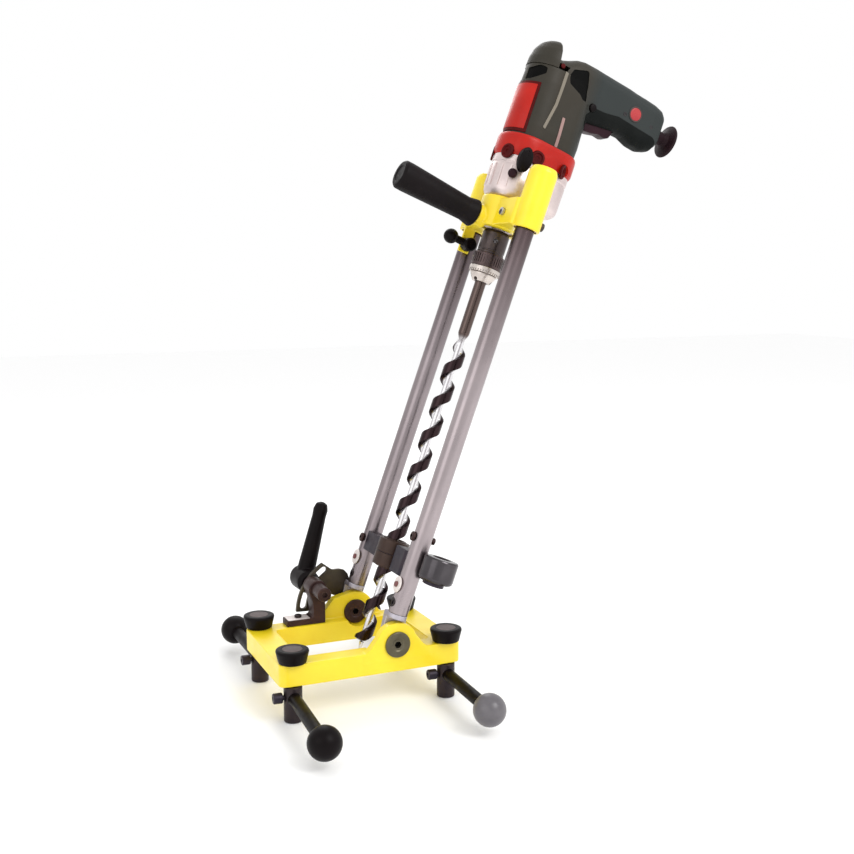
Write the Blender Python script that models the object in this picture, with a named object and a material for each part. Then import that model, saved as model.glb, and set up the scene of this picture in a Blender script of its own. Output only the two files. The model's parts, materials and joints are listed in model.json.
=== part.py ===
"""Tilting two-column drill stand for timber beams, with a pistol-grip drill and an auger bit.

Metres, +Z up. The origin lies under the tilt axis, on the underside of the base rails.
+X runs along the beam, towards the side the mast leans to, and +Y across it.
"""
import bpy
import bmesh
from math import acos, atan2, cos, pi, radians, sin, sqrt
from mathutils import Matrix, Vector

# Driving dimensions -------------------------------------------------------------------------
GAP = 0.0003                 # play between touching pieces
SCREW_R = 0.0030             # plain M6 screws
STUD_R = 0.0050              # corner knob studs
PIVOT_R = 0.0080             # pivot bolt shanks
CLAMP_BOLT_R = 0.0040
MAST_LEAN = radians(20.1)    # lean of the mast at rest, towards +X
PIVOT_Z = 0.0353             # height of the tilt axis

RAIL_H = 0.028               # base frame
FRAME_X = (-0.152, 0.089)
FRAME_Y = 0.0825
OPENING_X = (-0.118, 0.056)
OPENING_Y = 0.056
EAR_IN, EAR_OUT = 0.0700, 0.0830
EAR_R = 0.0275
CORNER_X = (-0.1345, 0.0705)
CORNER_Y = 0.075

POST_R = 0.0115              # fence posts and their rods
POST_BOTTOM = -0.045
ROD_Z = -0.0145
ROD_R = 0.008
BALL_R = 0.020

CLAMP_X, CLAMP_Z = -0.057, 0.0750    # tilt clamp, whose axis runs along Y
CLAMP_R = sqrt(CLAMP_X ** 2 + (CLAMP_Z - PIVOT_Z) ** 2)

AXIS_W = -0.009              # columns, spindle and bit share one plane of the mast
COL_Y = 0.075
COL_R, COL_BORE = 0.0125, 0.0095
COL_BOTTOM, COL_TOP = 0.0365, 0.620
LEG_Y = {-1: (-0.0695, -0.0600), 1: (0.0833, 0.0877)}     # both legs stand behind their ears
SPIGOT_SCREW_U = 0.0720
GUIDE_BOLT_U = {-1: 0.1355, 1: 0.1000}     # front and rear
GUIDE_LOW, GUIDE_TOP = 0.0800, 0.1160
STUD_AT = (0.0110, -0.1040)  # stud of the guide's lock nut

SLEEVE_R = 0.0185            # carriage
SLEEVE_LOW, SLEEVE_TOP = 0.545, 0.626
COLLAR_R, NECK_R = 0.033, 0.0215
COLLAR_TOP = 0.585
BOSS_U, GRIP_LEAN = 0.5515, 0.077    # height and rise of the grip
LEVER_AT = (-0.0225, 0.0570, 0.5225)
COLLAR_SCREW_AT = (AXIS_W, -0.0450, 0.5620)
BUSH_R = 0.0147

OFFSET_W = 0.030             # centre of the drill body's second, smaller round
LAY_W = 0.023                # lay shaft of the reduction gear
GEAR_MODULE = 0.0016
PINION_TEETH, LAY_TEETH, LAY_PINION_TEETH, OUTPUT_TEETH = 8, 32, 12, 28

BIT_R, BIT_CORE = 0.0115, 0.0045
BIT_PITCH = 0.0466

FLANGE_LOW, FLANGE_TOP = 0.6403, 0.669
SELECTOR_AT = (-0.0250, -0.0390, 0.6342)
BUTTON_AT, BUTTON_AXIS = (-0.0300, -0.0320, 0.6146), (-0.45, -1, 0)
STEM_R, STEM_LENGTH = 0.0025, 0.0060
SHELL_LOW, SHELL_TOP = 0.6693, 0.765
CAP_CUT_W = -0.0150          # plane where the rear cap meets the handle
HANDLE_END = 0.1718
GLAND_U = 0.7540
LOCK_W, LOCK_U = 0.0560, 0.7420

X, Y, Z = Vector((1, 0, 0)), Vector((0, 1, 0)), Vector((0, 0, 1))


# Helpers --------------------------------------------------------------------------------------
def clear_scene():
    for obj in list(bpy.data.objects):
        bpy.data.objects.remove(obj, do_unlink=True)


MATERIALS = {
    "yellow_paint": ((0.95, 0.80, 0.03), 0.35, 0.0),
    "red_paint": ((0.75, 0.06, 0.04), 0.35, 0.0),
    "steel": ((0.55, 0.54, 0.57), 0.30, 1.0),
    "bright_steel": ((0.72, 0.72, 0.74), 0.22, 1.0),
    "dark_steel": ((0.10, 0.09, 0.10), 0.45, 0.8),
    "aluminium": ((0.70, 0.70, 0.72), 0.35, 1.0),
    "black_plastic": ((0.03, 0.025, 0.03), 0.45, 0.0),
    "housing_plastic": ((0.10, 0.10, 0.095), 0.50, 0.0),
    "bronze": ((0.42, 0.24, 0.12), 0.40, 0.9),
    "copper": ((0.60, 0.30, 0.15), 0.40, 0.9),
}


def own_material(name, kind):
    colour, rough, metal = MATERIALS[kind]
    mat = bpy.data.materials.new(name)
    mat.use_nodes = True
    shader = mat.node_tree.nodes["Principled BSDF"]
    shader.inputs["Base Color"].default_value = (*colour, 1.0)
    shader.inputs["Roughness"].default_value = rough
    shader.inputs["Metallic"].default_value = metal
    return mat


def frame_at(point, axis=Z):
    """Matrix whose Z axis points along axis, with its origin at point."""
    return Matrix.Translation(Vector(point)) @ Z.rotation_difference(Vector(axis)).to_matrix().to_4x4()


def add_object(name, bm, kind=None, parent=None, frame=None):
    """Turn bm into an object. Without a kind it is a hidden cutter."""
    bmesh.ops.recalc_face_normals(bm, faces=bm.faces)
    mesh = bpy.data.meshes.new(name)
    bm.to_mesh(mesh)
    bm.free()
    mesh.shade_smooth()
    mesh.set_sharp_from_angle(angle=radians(35))
    obj = bpy.data.objects.new(name, mesh)
    bpy.context.collection.objects.link(obj)
    obj.parent = parent
    if frame is not None:
        obj.matrix_local = frame
    if kind:
        mesh.materials.append(own_material(name, kind))
    else:
        obj.hide_render = True
        obj.display_type = "WIRE"
    return obj


def boolean(obj, tool, operation="DIFFERENCE"):
    mod = obj.modifiers.new(tool.name, "BOOLEAN")
    mod.operation = operation
    mod.object = tool
    mod.solver = "EXACT"


def cut(obj, bm, frame=None, parent=None, operation="DIFFERENCE"):
    tool = add_object(f"tool_{obj.name}_{len(obj.modifiers)}", bm, None, parent or obj.parent, frame)
    boolean(obj, tool, operation)


def join(obj, bm, frame=None, parent=None):
    cut(obj, bm, frame, parent, "UNION")


def loft(rings):
    """Closed solid through rings of points with equal counts."""
    bm = bmesh.new()
    rows = [[bm.verts.new(p) for p in ring] for ring in rings]
    for low, high in zip(rows, rows[1:]):
        for i in range(len(low)):
            j = (i + 1) % len(low)
            bm.faces.new((low[i], low[j], high[j], high[i]))
    bm.faces.new(rows[0])
    bm.faces.new(rows[-1])
    return bm


def turned(profile, segments=16):
    """Solid of revolution about Z. A profile whose ends are off the axis closes on itself."""
    bm = bmesh.new()
    rows = []
    for r, z in profile:
        if r < 1e-7:
            rows.append([bm.verts.new((0, 0, z))])
            continue
        steps = [2 * pi * (i + 0.5) / segments for i in range(segments)]
        rows.append([bm.verts.new((r * cos(a), r * sin(a), z)) for a in steps])
    pairs = list(zip(rows, rows[1:]))
    if len(rows[0]) > 1 and len(rows[-1]) > 1:
        pairs.append((rows[-1], rows[0]))
    for low, high in pairs:
        if len(low) == len(high) == 1:
            continue
        for i in range(segments):
            j = (i + 1) % segments
            if len(low) == 1:
                bm.faces.new((low[0], high[j], high[i]))
            elif len(high) == 1:
                bm.faces.new((low[i], low[j], high[0]))
            else:
                bm.faces.new((low[i], low[j], high[j], high[i]))
    return bm


def rod(r, low, high, segments=16):
    return turned([(0, low), (r, low), (r, high), (0, high)], segments)


def tube(r_out, r_in, low, high, segments=16):
    return turned([(r_in, low), (r_out, low), (r_out, high), (r_in, high)], segments)


def box(low, high):
    bm = bmesh.new()
    bmesh.ops.create_cube(bm, size=1.0)
    for v in bm.verts:
        v.co = Vector([l + (h - l) * (c + 0.5) for l, h, c in zip(low, high, v.co)])
    return bm


def prism_y(outline, y0, y1):
    """Extrude an outline of (x, z) points from y0 to y1."""
    return loft([[(a, y, b) for a, b in outline] for y in (y0, y1)])


def prism_z(outline, z0, z1):
    return loft([[(a, b, z) for a, b in outline] for z in (z0, z1)])


def arc(cx, cy, r, start, end, steps):
    """Points on a circle. Angles in degrees from the first axis."""
    spots = [radians(start + (end - start) * i / steps) for i in range(steps + 1)]
    return [(cx + r * cos(a), cy + r * sin(a)) for a in spots]


def round_rect(x0, x1, y0, y1, r, steps=5):
    return (arc(x1 - r, y1 - r, r, 0, 90, steps) + arc(x0 + r, y1 - r, r, 90, 180, steps)
            + arc(x0 + r, y0 + r, r, 180, 270, steps) + arc(x1 - r, y0 + r, r, 270, 360, steps))


def egg(r0, r1, w1=OFFSET_W, steps=8):
    """Outline around a round r0 on the spindle axis and a round r1 at w1."""
    beta = acos((r0 - r1) / (w1 - AXIS_W)) * 180 / pi
    return arc(w1, 0, r1, -beta, beta, steps) + arc(AXIS_W, 0, r0, beta, 360 - beta, steps + 4)


def egg_loft(levels, w1=OFFSET_W):
    """Solid through egg outlines given as (u, r0, r1)."""
    return loft([[(a, b, u) for a, b in egg(r0, r1, w1)] for u, r0, r1 in levels])


def gear(teeth, module=GEAR_MODULE, phase=0.0):
    """Outline of a spur gear with plain tapered teeth."""
    pitch_r = teeth * module / 2
    root, tip = pitch_r - 1.15 * module, pitch_r + 0.8 * module
    step = 2 * pi / teeth
    points = []
    for i in range(teeth):
        middle = i * step + phase
        for r, share in ((root, -0.27), (tip, -0.11), (tip, 0.11), (root, 0.27)):
            a = middle + share * step
            points.append((r * cos(a), r * sin(a)))
    return points


# Base -----------------------------------------------------------------------------------------
def make_base_frame():
    outer = round_rect(*FRAME_X, -FRAME_Y, FRAME_Y, 0.010)
    base = add_object("base_frame", prism_z(outer, 0.0, RAIL_H), "yellow_paint")
    for side in (-1, 1):
        y0, y1 = sorted((side * EAR_IN, side * EAR_OUT))
        foot_z = RAIL_H - 0.004
        if side < 0:
            ear = arc(0, PIVOT_Z, EAR_R, 20, 160, 14) + [(-0.045, foot_z + 0.002)]
        else:
            # The rear ear has a broad flank towards the tilt clamp.
            ear = arc(0, PIVOT_Z, EAR_R, 20, 112, 10) + [(-0.0310, 0.0560), (-0.0450, 0.0390)]
        ear += [(-0.045, foot_z - 0.010), (0.045, foot_z - 0.010), (0.045, foot_z + 0.002)]
        join(base, prism_y(ear, y0, y1))
    inner = round_rect(*OPENING_X, -OPENING_Y, OPENING_Y, 0.008)
    cut(base, prism_z(inner, -0.01, RAIL_H + 0.01))
    # Room for the front leg and for the head of the rear pivot bolt.
    cut(base, box((-0.032, -EAR_IN, 0.012), (0.032, -0.050, RAIL_H + 0.04)))
    cut(base, rod(0.0180, 0.050, EAR_IN, 20), frame_at((0, 0, PIVOT_Z), Y))
    for side in (-1, 1):
        cut(base, rod(PIVOT_R + GAP, -0.03, 0.03, 14), frame_at((0, side * 0.0765, PIVOT_Z), Y))
        for x in CORNER_X:
            spot = frame_at((x, side * CORNER_Y, 0))
            cut(base, rod(STUD_R + GAP, -0.01, RAIL_H + 0.01, 12), spot)
            cut(base, rod(POST_R + 0.0015, -0.01, 0.0005, 16), spot)      # spot face over the post
    cut(base, rod(SCREW_R + GAP, 0.012, RAIL_H + 0.01, 12), frame_at((-0.082, 0.070, 0)))


def make_pivot_bolt(name, head_y, shank_end):
    """Round head with a hexagon socket towards -Y; the shank runs along +Y."""
    head, thick = 0.0165, 0.0030
    length = shank_end - head_y
    profile = [(0, 0), (head - 0.001, 0), (head, 0.0008), (head, thick), (PIVOT_R, thick), (PIVOT_R, length),
               (0, length)]
    bolt = add_object(name, turned(profile, 20), "steel", None, frame_at((0, head_y, PIVOT_Z), Y))
    cut(bolt, rod(0.0048, -0.001, 0.0065, 6), frame_at((0, head_y, PIVOT_Z), Y))


def make_corner(tag, x, side, swivel_deg, reach):
    """Knob, post, rod with its ball end, and side screw of one corner."""
    y = side * CORNER_Y
    knob = [(0, -0.0045), (STUD_R, -0.0045), (STUD_R, RAIL_H + 0.0005), (0.0160, RAIL_H + 0.0005),
            (0.0172, RAIL_H + 0.0015), (0.0205, RAIL_H + 0.0150), (0.0200, RAIL_H + 0.0172),
            (0.0175, RAIL_H + 0.0182), (0, RAIL_H + 0.0182)]
    add_object(f"corner_knob_{tag}", turned(knob, 16), "black_plastic", None, frame_at((x, y, 0)))

    holder = bpy.data.objects.new(f"swivel_{tag}", None)
    bpy.context.collection.objects.link(holder)
    turn = radians(swivel_deg) + (0 if side > 0 else pi)
    holder.matrix_local = Matrix.Translation((x, y, 0)) @ Matrix.Rotation(turn, 4, "Z")
    post_profile = [(0, POST_BOTTOM), (POST_R - 0.0015, POST_BOTTOM), (POST_R, POST_BOTTOM + 0.0015),
                    (POST_R, -0.0005), (0, -0.0005)]
    post = add_object(f"fence_post_{tag}", turned(post_profile, 14), "dark_steel", holder)
    cut(post, rod(STUD_R + GAP, -0.0049, 0.010, 12))
    along_y = frame_at((0, 0, ROD_Z), Y)
    cut(post, rod(ROD_R + GAP, -0.0070, 0.030, 14), along_y)
    # The side screw points to -X of the base in both rows of corners.
    out = -1 if side > 0 else 1
    across = frame_at((0, 0, ROD_Z), X * out)
    cut(post, rod(SCREW_R + GAP, 0.0, 0.030, 12), across)

    rod_profile = [(0, -0.0067), (ROD_R, -0.0067), (ROD_R, reach - 0.0175)]
    rod_profile += [(BALL_R * cos(a), reach + BALL_R * sin(a))
                    for a in (radians(-62 + 152 * i / 7) for i in range(7))]
    rod_profile += [(0, reach + BALL_R)]
    add_object(f"fence_rod_{tag}", turned(rod_profile, 14), "black_plastic", holder, along_y)
    screw = [(0, ROD_R + GAP), (SCREW_R, ROD_R + GAP), (SCREW_R, POST_R + 0.002), (0.0060, POST_R + 0.002),
             (0.0066, POST_R + 0.003), (0.0066, POST_R + 0.0125), (0.0058, POST_R + 0.0135),
             (0, POST_R + 0.0135)]
    add_object(f"post_screw_{tag}", turned(screw, 12), "dark_steel", holder, across)


def make_tilt_lock():
    """Bracket on the rear rail, clamp bolt along Y, and its long lever."""
    low = RAIL_H + GAP
    head = arc(CLAMP_X, CLAMP_Z, 0.0125, -10, 190, 12)
    outline = [(-0.0470, low), (-0.0470, 0.060)] + head + [(-0.0640, 0.058), (-0.0630, 0.039),
                                                           (-0.0650, 0.0365), (-0.100, 0.0365), (-0.100, low)]
    bracket = add_object("lock_bracket", prism_y(outline, 0.058, 0.0820), "dark_steel")
    along = frame_at((CLAMP_X, 0, CLAMP_Z), Y)
    join(bracket, rod(0.0115, 0.070, 0.0877, 14), along)
    cut(bracket, rod(CLAMP_BOLT_R + GAP, 0.03, 0.12, 12), along)

    bolt = [(0, 0.0300), (0.0085, 0.0300), (0.0095, 0.0312), (0.0095, 0.0577),
            (CLAMP_BOLT_R, 0.0577), (CLAMP_BOLT_R, 0.1200), (0, 0.1200)]
    add_object("tilt_clamp_bolt", turned(bolt, 14), "dark_steel", None, along)

    hub = [(0, 0.0933), (0.0118, 0.0933), (0.0150, 0.0990), (0.0155, 0.1290), (0.0135, 0.1340),
           (0, 0.1340)]
    lever = add_object("tilt_clamp_lever", turned(hub, 16), "black_plastic", None, along)
    # The arm rises from the far half of the hub, leaning 15 degrees towards +X.
    reach = 0.107
    arm = [(0, 0), (0.0110, 0), (0.0112, 0.020), (0.0085, reach - 0.018), (0.0092, reach - 0.008),
           (0.0068, reach), (0.0030, reach + 0.0025), (0, reach + 0.003)]
    lean = radians(15)
    join(lever, turned(arm, 14), frame_at((CLAMP_X, 0.120, CLAMP_Z), (sin(lean), 0, cos(lean))))
    cut(lever, rod(CLAMP_BOLT_R + GAP, 0.05, 0.1215, 12), along)


# Mast: local x is w (across, in the tilt plane), local z is u (along the columns) ----------------
def make_leg(name, side, mast):
    """Leg behind one ear, with a foot flange and a spigot that carries the column."""
    low, high = LEG_Y[side]
    outline = arc(0, 0, 0.0150, 200, 340, 10) + [(0.0155, 0.010), (0.0060, 0.0345), (-0.0215, 0.0345),
                                                 (-0.0190, 0.010)]
    leg = add_object(name, prism_y(outline, low, high), "aluminium", mast)
    # The foot runs from the leg's plate to the far side of the column, seen from that plate.
    plate = arc(AXIS_W, side * COL_Y, COL_R, 180, 360, 10)
    edge = high - 0.0005 if side > 0 else low + 0.0085
    plate += [(AXIS_W + COL_R, edge), (AXIS_W - COL_R, edge)]
    join(leg, prism_z(plate, 0.0300, COL_BOTTOM - GAP))
    centre = frame_at((AXIS_W, side * COL_Y, 0))
    join(leg, rod(COL_BORE - GAP, 0.033, 0.090, 14), centre)
    cut(leg, rod(PIVOT_R + GAP, -0.1, 0.1, 14), frame_at((0, 0, 0), Y))
    screw_spot = (AXIS_W - 0.002, side * COL_Y, SPIGOT_SCREW_U)
    cut(leg, rod(SCREW_R + GAP, 0.0, 0.03, 12), frame_at(screw_spot, -X))


def make_column(name, side, mast):
    centre = frame_at((AXIS_W, side * COL_Y, 0))
    column = add_object(name, tube(COL_R, COL_BORE, COL_BOTTOM, COL_TOP, 24), "steel", mast, centre)
    screw_spot = (AXIS_W, side * COL_Y, SPIGOT_SCREW_U)
    cut(column, rod(SCREW_R + GAP, 0.0, 0.03, 12), frame_at(screw_spot, -X))
    cut(column, rod(0.0028, -0.03, 0.03, 12), frame_at((AXIS_W, side * COL_Y, GUIDE_BOLT_U[side]), X))


def make_column_screws(tag, side, mast):
    out = COL_R + 0.0003
    screw = [(0, 0.0030), (SCREW_R, 0.0030), (SCREW_R, out), (0.0100, out), (0.0105, out + 0.0006),
             (0.0102, out + 0.0016), (0.0042, out + 0.0018), (0.0042, out + 0.0040), (0, out + 0.0044)]
    add_object(f"column_screw_{tag}", turned(screw, 14), "steel", mast,
               frame_at((AXIS_W, side * COL_Y, SPIGOT_SCREW_U), -X))
    bolt = [(0, -out - 0.0045), (0.0045, -out - 0.0040), (0.0045, -out), (0.0025, -out),
            (0.0025, out), (0.0060, out), (0.0060, out + 0.0026), (0.0040, out + 0.0036), (0, out + 0.0036)]
    add_object(f"guide_bolt_{tag}", turned(bolt, 12), "dark_steel", mast,
               frame_at((AXIS_W, side * COL_Y, GUIDE_BOLT_U[side]), -X))


def make_sector(mast):
    """Slotted plate behind the rear column, centred on the tilt axis."""
    inner, outer, half_slot = CLAMP_R - 0.0090, CLAMP_R + 0.0090, 0.0045
    # Polar angle of the clamp bolt with the mast upright.
    bolt_low = atan2(CLAMP_Z - PIVOT_Z, CLAMP_X) * 180 / pi
    bolt_high = bolt_low + 45
    outline = arc(0, 0, outer, bolt_low - 4, bolt_high + 8, 14)
    outline += arc(0, 0, inner, bolt_high + 8, 166, 8)
    outline += [(-0.0420, 0.0120), (-0.0250, 0.0100), (-0.0130, 0.0130), (-0.0130, 0.0340), (-0.0200, 0.0440),
                (-0.0270, 0.0480), (-0.0344, 0.0475), (-0.0440, 0.0440)]
    sector = add_object("tilt_sector", prism_y(outline, 0.0880, 0.0930), "steel", mast)
    start, end = bolt_low - 1, bolt_high + 1
    slot = arc(0, 0, CLAMP_R + half_slot, start, end, 14) + arc(0, 0, CLAMP_R - half_slot, end, start, 14)
    cut(sector, prism_y(slot, 0.080, 0.100))
    for angle in (start, end):
        a = radians(angle)
        cut(sector, rod(half_slot, 0.080, 0.100, 12), frame_at((CLAMP_R * cos(a), 0, CLAMP_R * sin(a)), Y))


def make_guide(mast):
    """Auger guide between the columns, its bush, and the nut on its stud."""
    low, high = GUIDE_LOW, GUIDE_TOP
    centre = frame_at((AXIS_W, 0, 0))
    guide = add_object("guide_bracket", rod(0.0200, low, high, 20), "dark_steel", mast, centre)
    front = round_rect(AXIS_W - 0.0120, AXIS_W + 0.0140, -0.0700, -0.0120, 0.005, 3)
    join(guide, prism_z(front, low + 0.001, high - 0.001))
    rear = round_rect(AXIS_W - 0.0110, AXIS_W + 0.0110, 0.0120, 0.0700, 0.004, 3)
    join(guide, prism_z(rear, low + 0.006, high - 0.004))
    # A flat ear runs round the front column to the stud.
    ear = arc(*STUD_AT, 0.0130, -190, 20, 10)
    ear += [(0.0230, -0.0750), (0.0190, -0.0560), (0.0020, -0.0480), (-0.0040, -0.0480), (-0.0040, -0.0600),
            (0.0060, -0.0640), (0.0080, -0.0750), (0.0060, -0.0860), (-0.0010, -0.0950)]
    join(guide, prism_z(ear, low + 0.0055, low + 0.0105))
    for side in (-1, 1):
        cut(guide, rod(COL_R + GAP, 0.0, 0.2, 24), frame_at((AXIS_W, side * COL_Y, 0)))
    cut(guide, rod(0.0158, 0.0, 0.2, 16), centre)
    stud = frame_at((*STUD_AT, 0))
    join(guide, rod(0.0045, low + 0.0080, 0.1120, 12), stud)

    bush = tube(0.0155, BIT_R + 0.0006, low - 0.0015, high + 0.0015, 16)
    add_object("guide_bush", bush, "bronze", mast, centre)
    base = low + 0.0108
    nut = [(0.0048, base), (0.0195, base), (0.0215, base + 0.0020), (0.0222, base + 0.0050),
           (0.0222, base + 0.0280), (0.0210, base + 0.0300), (0.0110, base + 0.0305),
           (0.0100, base + 0.0215), (0.0048, base + 0.0215)]
    add_object("guide_lock_nut", turned(nut, 20), "aluminium", mast, stud)


# Carriage and drill, in the same mast coordinates -------------------------------------------------
def make_carriage(carriage):
    low, top = SLEEVE_LOW, SLEEVE_TOP
    axis = frame_at((AXIS_W, 0, 0))
    body = add_object("carriage_casting", rod(COLLAR_R, low, COLLAR_TOP, 24), "yellow_paint", carriage, axis)
    bore = BUSH_R + GAP
    sleeve = [(bore, low), (SLEEVE_R - 0.001, low), (SLEEVE_R, low + 0.001), (SLEEVE_R, top - 0.006),
              (SLEEVE_R - 0.0025, top), (bore, top)]
    bridge = round_rect(AXIS_W - 0.0220, AXIS_W + 0.0130, -COL_Y + 0.009, COL_Y - 0.009, 0.006, 3)
    join(body, prism_z(bridge, low + 0.0012, COLLAR_TOP - 0.004))
    boss = frame_at((AXIS_W, 0, BOSS_U), (-1, 0, GRIP_LEAN))
    join(body, rod(0.0145, 0.0245, 0.0390, 16), boss)
    lever_w, lever_y = LEVER_AT[:2]
    lug = ((lever_w - 0.0078, lever_y - 0.0030, 0.5120), (lever_w + 0.0078, lever_y + 0.0020, 0.5570))
    join(body, box(*lug))
    cut(body, rod(SCREW_R + GAP, -0.01, 0.01, 8), frame_at(LEVER_AT, Y))
    cut(body, rod(SCREW_R + GAP, 0.010, 0.06, 8), frame_at(COLLAR_SCREW_AT, -X))
    cut(body, rod(NECK_R + GAP, low - 0.05, COLLAR_TOP + 0.05, 24), axis)
    cut(body, rod(0.0043, 0.026, 0.06, 8), boss)
    # Room for the sleeves first, then the sleeves themselves as thick rings.
    for side in (-1, 1):
        cut(body, rod(0.0168, low - 0.05, top + 0.05, 20), frame_at((AXIS_W, side * COL_Y, 0)))
    for side in (-1, 1):
        join(body, turned(sleeve, 20), frame_at((AXIS_W, side * COL_Y, 0)))

    for tag, side in (("front", -1), ("rear", 1)):
        add_object(f"carriage_bush_{tag}", tube(BUSH_R, COL_R + GAP, low + 0.001, top - 0.001, 20), "bronze",
                   carriage, frame_at((AXIS_W, side * COL_Y, 0)))
    grip = [(0, 0.0275), (0.004, 0.0275), (0.004, 0.0393), (0.0165, 0.0393), (0.0185, 0.0420),
            (0.0172, 0.0490), (0.0158, 0.0560), (0.0190, 0.1440), (0.0188, 0.1535), (0.0160, 0.1565),
            (0, 0.1565)]
    add_object("carriage_grip", turned(grip, 16), "black_plastic", carriage, boss)

    # Short clamp lever under the rear sleeve; its hub points to -Y.
    hub = [(0, -0.0050), (SCREW_R, -0.0050), (SCREW_R, 0.0033), (0.0080, 0.0033), (0.0092, 0.0050),
           (0.0092, 0.0190), (0.0075, 0.0210), (0, 0.0210)]
    spot = Vector(LEVER_AT)
    lever = add_object("carriage_clamp_lever", turned(hub, 14), "black_plastic", carriage,
                       frame_at(spot, -Y))
    ball = 0.0100
    arm = [(0, 0), (0.0055, 0), (0.0050, 0.0205)]
    arm += [(ball * cos(a), 0.029 + ball * sin(a)) for a in (radians(-60 + 150 * i / 6) for i in range(6))]
    arm += [(0, 0.029 + ball)]
    join(lever, turned(arm, 12), frame_at(spot + Vector((0, -0.0130, 0)), (-1, 0, 0.05)))

    screw = [(0, 0.0120), (SCREW_R, 0.0120), (SCREW_R, 0.0223), (0.0050, 0.0223), (0.0050, 0.0262),
             (0, 0.0266)]
    add_object("collar_screw", turned(screw, 12), "steel", carriage,
               frame_at(COLLAR_SCREW_AT, -X))


def make_gearbox(carriage):
    axis = frame_at((AXIS_W, 0, 0))
    body = add_object("gearbox_housing", rod(NECK_R, 0.548, 0.595, 24), "aluminium", carriage, axis)
    bowl = [(COLLAR_TOP + GAP, 0.0290, 0.0250), (0.5930, 0.0355, 0.0315), (0.6400, 0.0360, 0.0325)]
    join(body, egg_loft(bowl))
    join(body, rod(0.0055, -0.0095, -0.0005, 14), frame_at(SELECTOR_AT, -Y))
    cut(body, egg_loft([(0.5980, 0.0320, 0.0285), (0.6500, 0.0325, 0.0290)]))
    cut(body, rod(0.0093, 0.50, 0.65, 14), axis)
    cut(body, rod(0.0133, 0.5745, 0.65, 14), axis)
    cut(body, rod(STEM_R + GAP, -0.0100, 0.0010, 12), frame_at(SELECTOR_AT, -Y))
    cut(body, rod(STEM_R + GAP, -0.0100, 0.0010, 12), frame_at(BUTTON_AT, BUTTON_AXIS))

    flange = add_object("gearbox_flange", egg_loft([(FLANGE_LOW, 0.0365, 0.0330), (0.6450, 0.0385, 0.0350),
                                                    (0.6645, 0.0385, 0.0350), (FLANGE_TOP, 0.0370, 0.0335)]),
                        "red_paint", carriage)
    cut(flange, egg_loft([(0.6520, 0.0310, 0.0275), (0.7000, 0.0310, 0.0275)]))
    cut(flange, rod(0.0055, 0.60, 0.70, 12), axis)
    cut(flange, rod(0.0043, 0.60, 0.6480, 12), frame_at((LAY_W, 0, 0)))

    ring = tube(0.0130, 0.0083, 0.5748, 0.5850, 14)
    add_object("spindle_bearing", ring, "bright_steel", carriage, axis)
    spindle = add_object("spindle", rod(0.0080, 0.5285, 0.6175, 14), "bright_steel", carriage, axis)
    join(spindle, prism_z(gear(OUTPUT_TEETH), 0.6060, 0.6160), axis)

    lay_axis = frame_at((LAY_W, 0, 0))
    # Half a tooth of phase on one side of each mesh keeps the teeth interleaved at rest.
    lay = add_object("lay_gear", prism_z(gear(LAY_TEETH, phase=pi / LAY_TEETH), 0.6245, 0.6320), "steel",
                     carriage, lay_axis)
    join(lay, prism_z(gear(LAY_PINION_TEETH, phase=pi / LAY_PINION_TEETH), 0.6050, 0.6260), lay_axis)
    join(lay, rod(0.0040, 0.6000, 0.6470, 12), lay_axis)


def make_motor(carriage):
    axis = frame_at((AXIS_W, 0, 0))
    add_object("stator", tube(0.0300, 0.0212, 0.6960, 0.7480, 20), "dark_steel", carriage, axis)
    core = [(0, 0.6200), (0.0036, 0.6200), (0.0036, 0.7000), (0.0190, 0.7000), (0.0203, 0.7020),
            (0.0203, 0.7430), (0.0190, 0.7450), (0.0050, 0.7450), (0.0050, 0.7500), (0.0115, 0.7500),
            (0.0115, 0.7600), (0.0040, 0.7600), (0.0040, 0.7740), (0, 0.7740)]
    armature = add_object("armature", turned(core, 16), "copper", carriage, axis)
    join(armature, prism_z(gear(PINION_TEETH), 0.6215, 0.6345), axis)
    # Half a dome with a flat wall towards the handle.
    dome = [(0, SHELL_TOP + GAP), (0.0335, SHELL_TOP + GAP), (0.0330, 0.7760), (0.0300, 0.7880),
            (0.0240, 0.7975), (0.0150, 0.8035), (0, 0.8060)]
    room = [(0, SHELL_TOP - 0.0100), (0.0300, SHELL_TOP - 0.0100), (0.0300, 0.7750), (0.0270, 0.7860),
            (0.0220, 0.7940), (0.0140, 0.7995), (0, 0.8020)]
    cap = add_object("rear_cap", turned(dome, 20), "housing_plastic", carriage, axis)
    cut(cap, box((CAP_CUT_W, -0.06, 0.70), (0.06, 0.06, 0.85)))
    hollow = add_object("tool_rear_cap_room", turned(room, 20), None, carriage, axis)
    cut(hollow, box((CAP_CUT_W - 0.0025, -0.06, 0.70), (0.06, 0.06, 0.85)))
    boolean(cap, hollow)


def handle_ring(w, low, high, half, steps=3):
    """Rounded cross-section of the handle at w."""
    r = min(half, (high - low) / 2) * 0.75
    outline = round_rect(-half, half, low, high, r, steps)
    return [(w, a, b) for a, b in outline]


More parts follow.
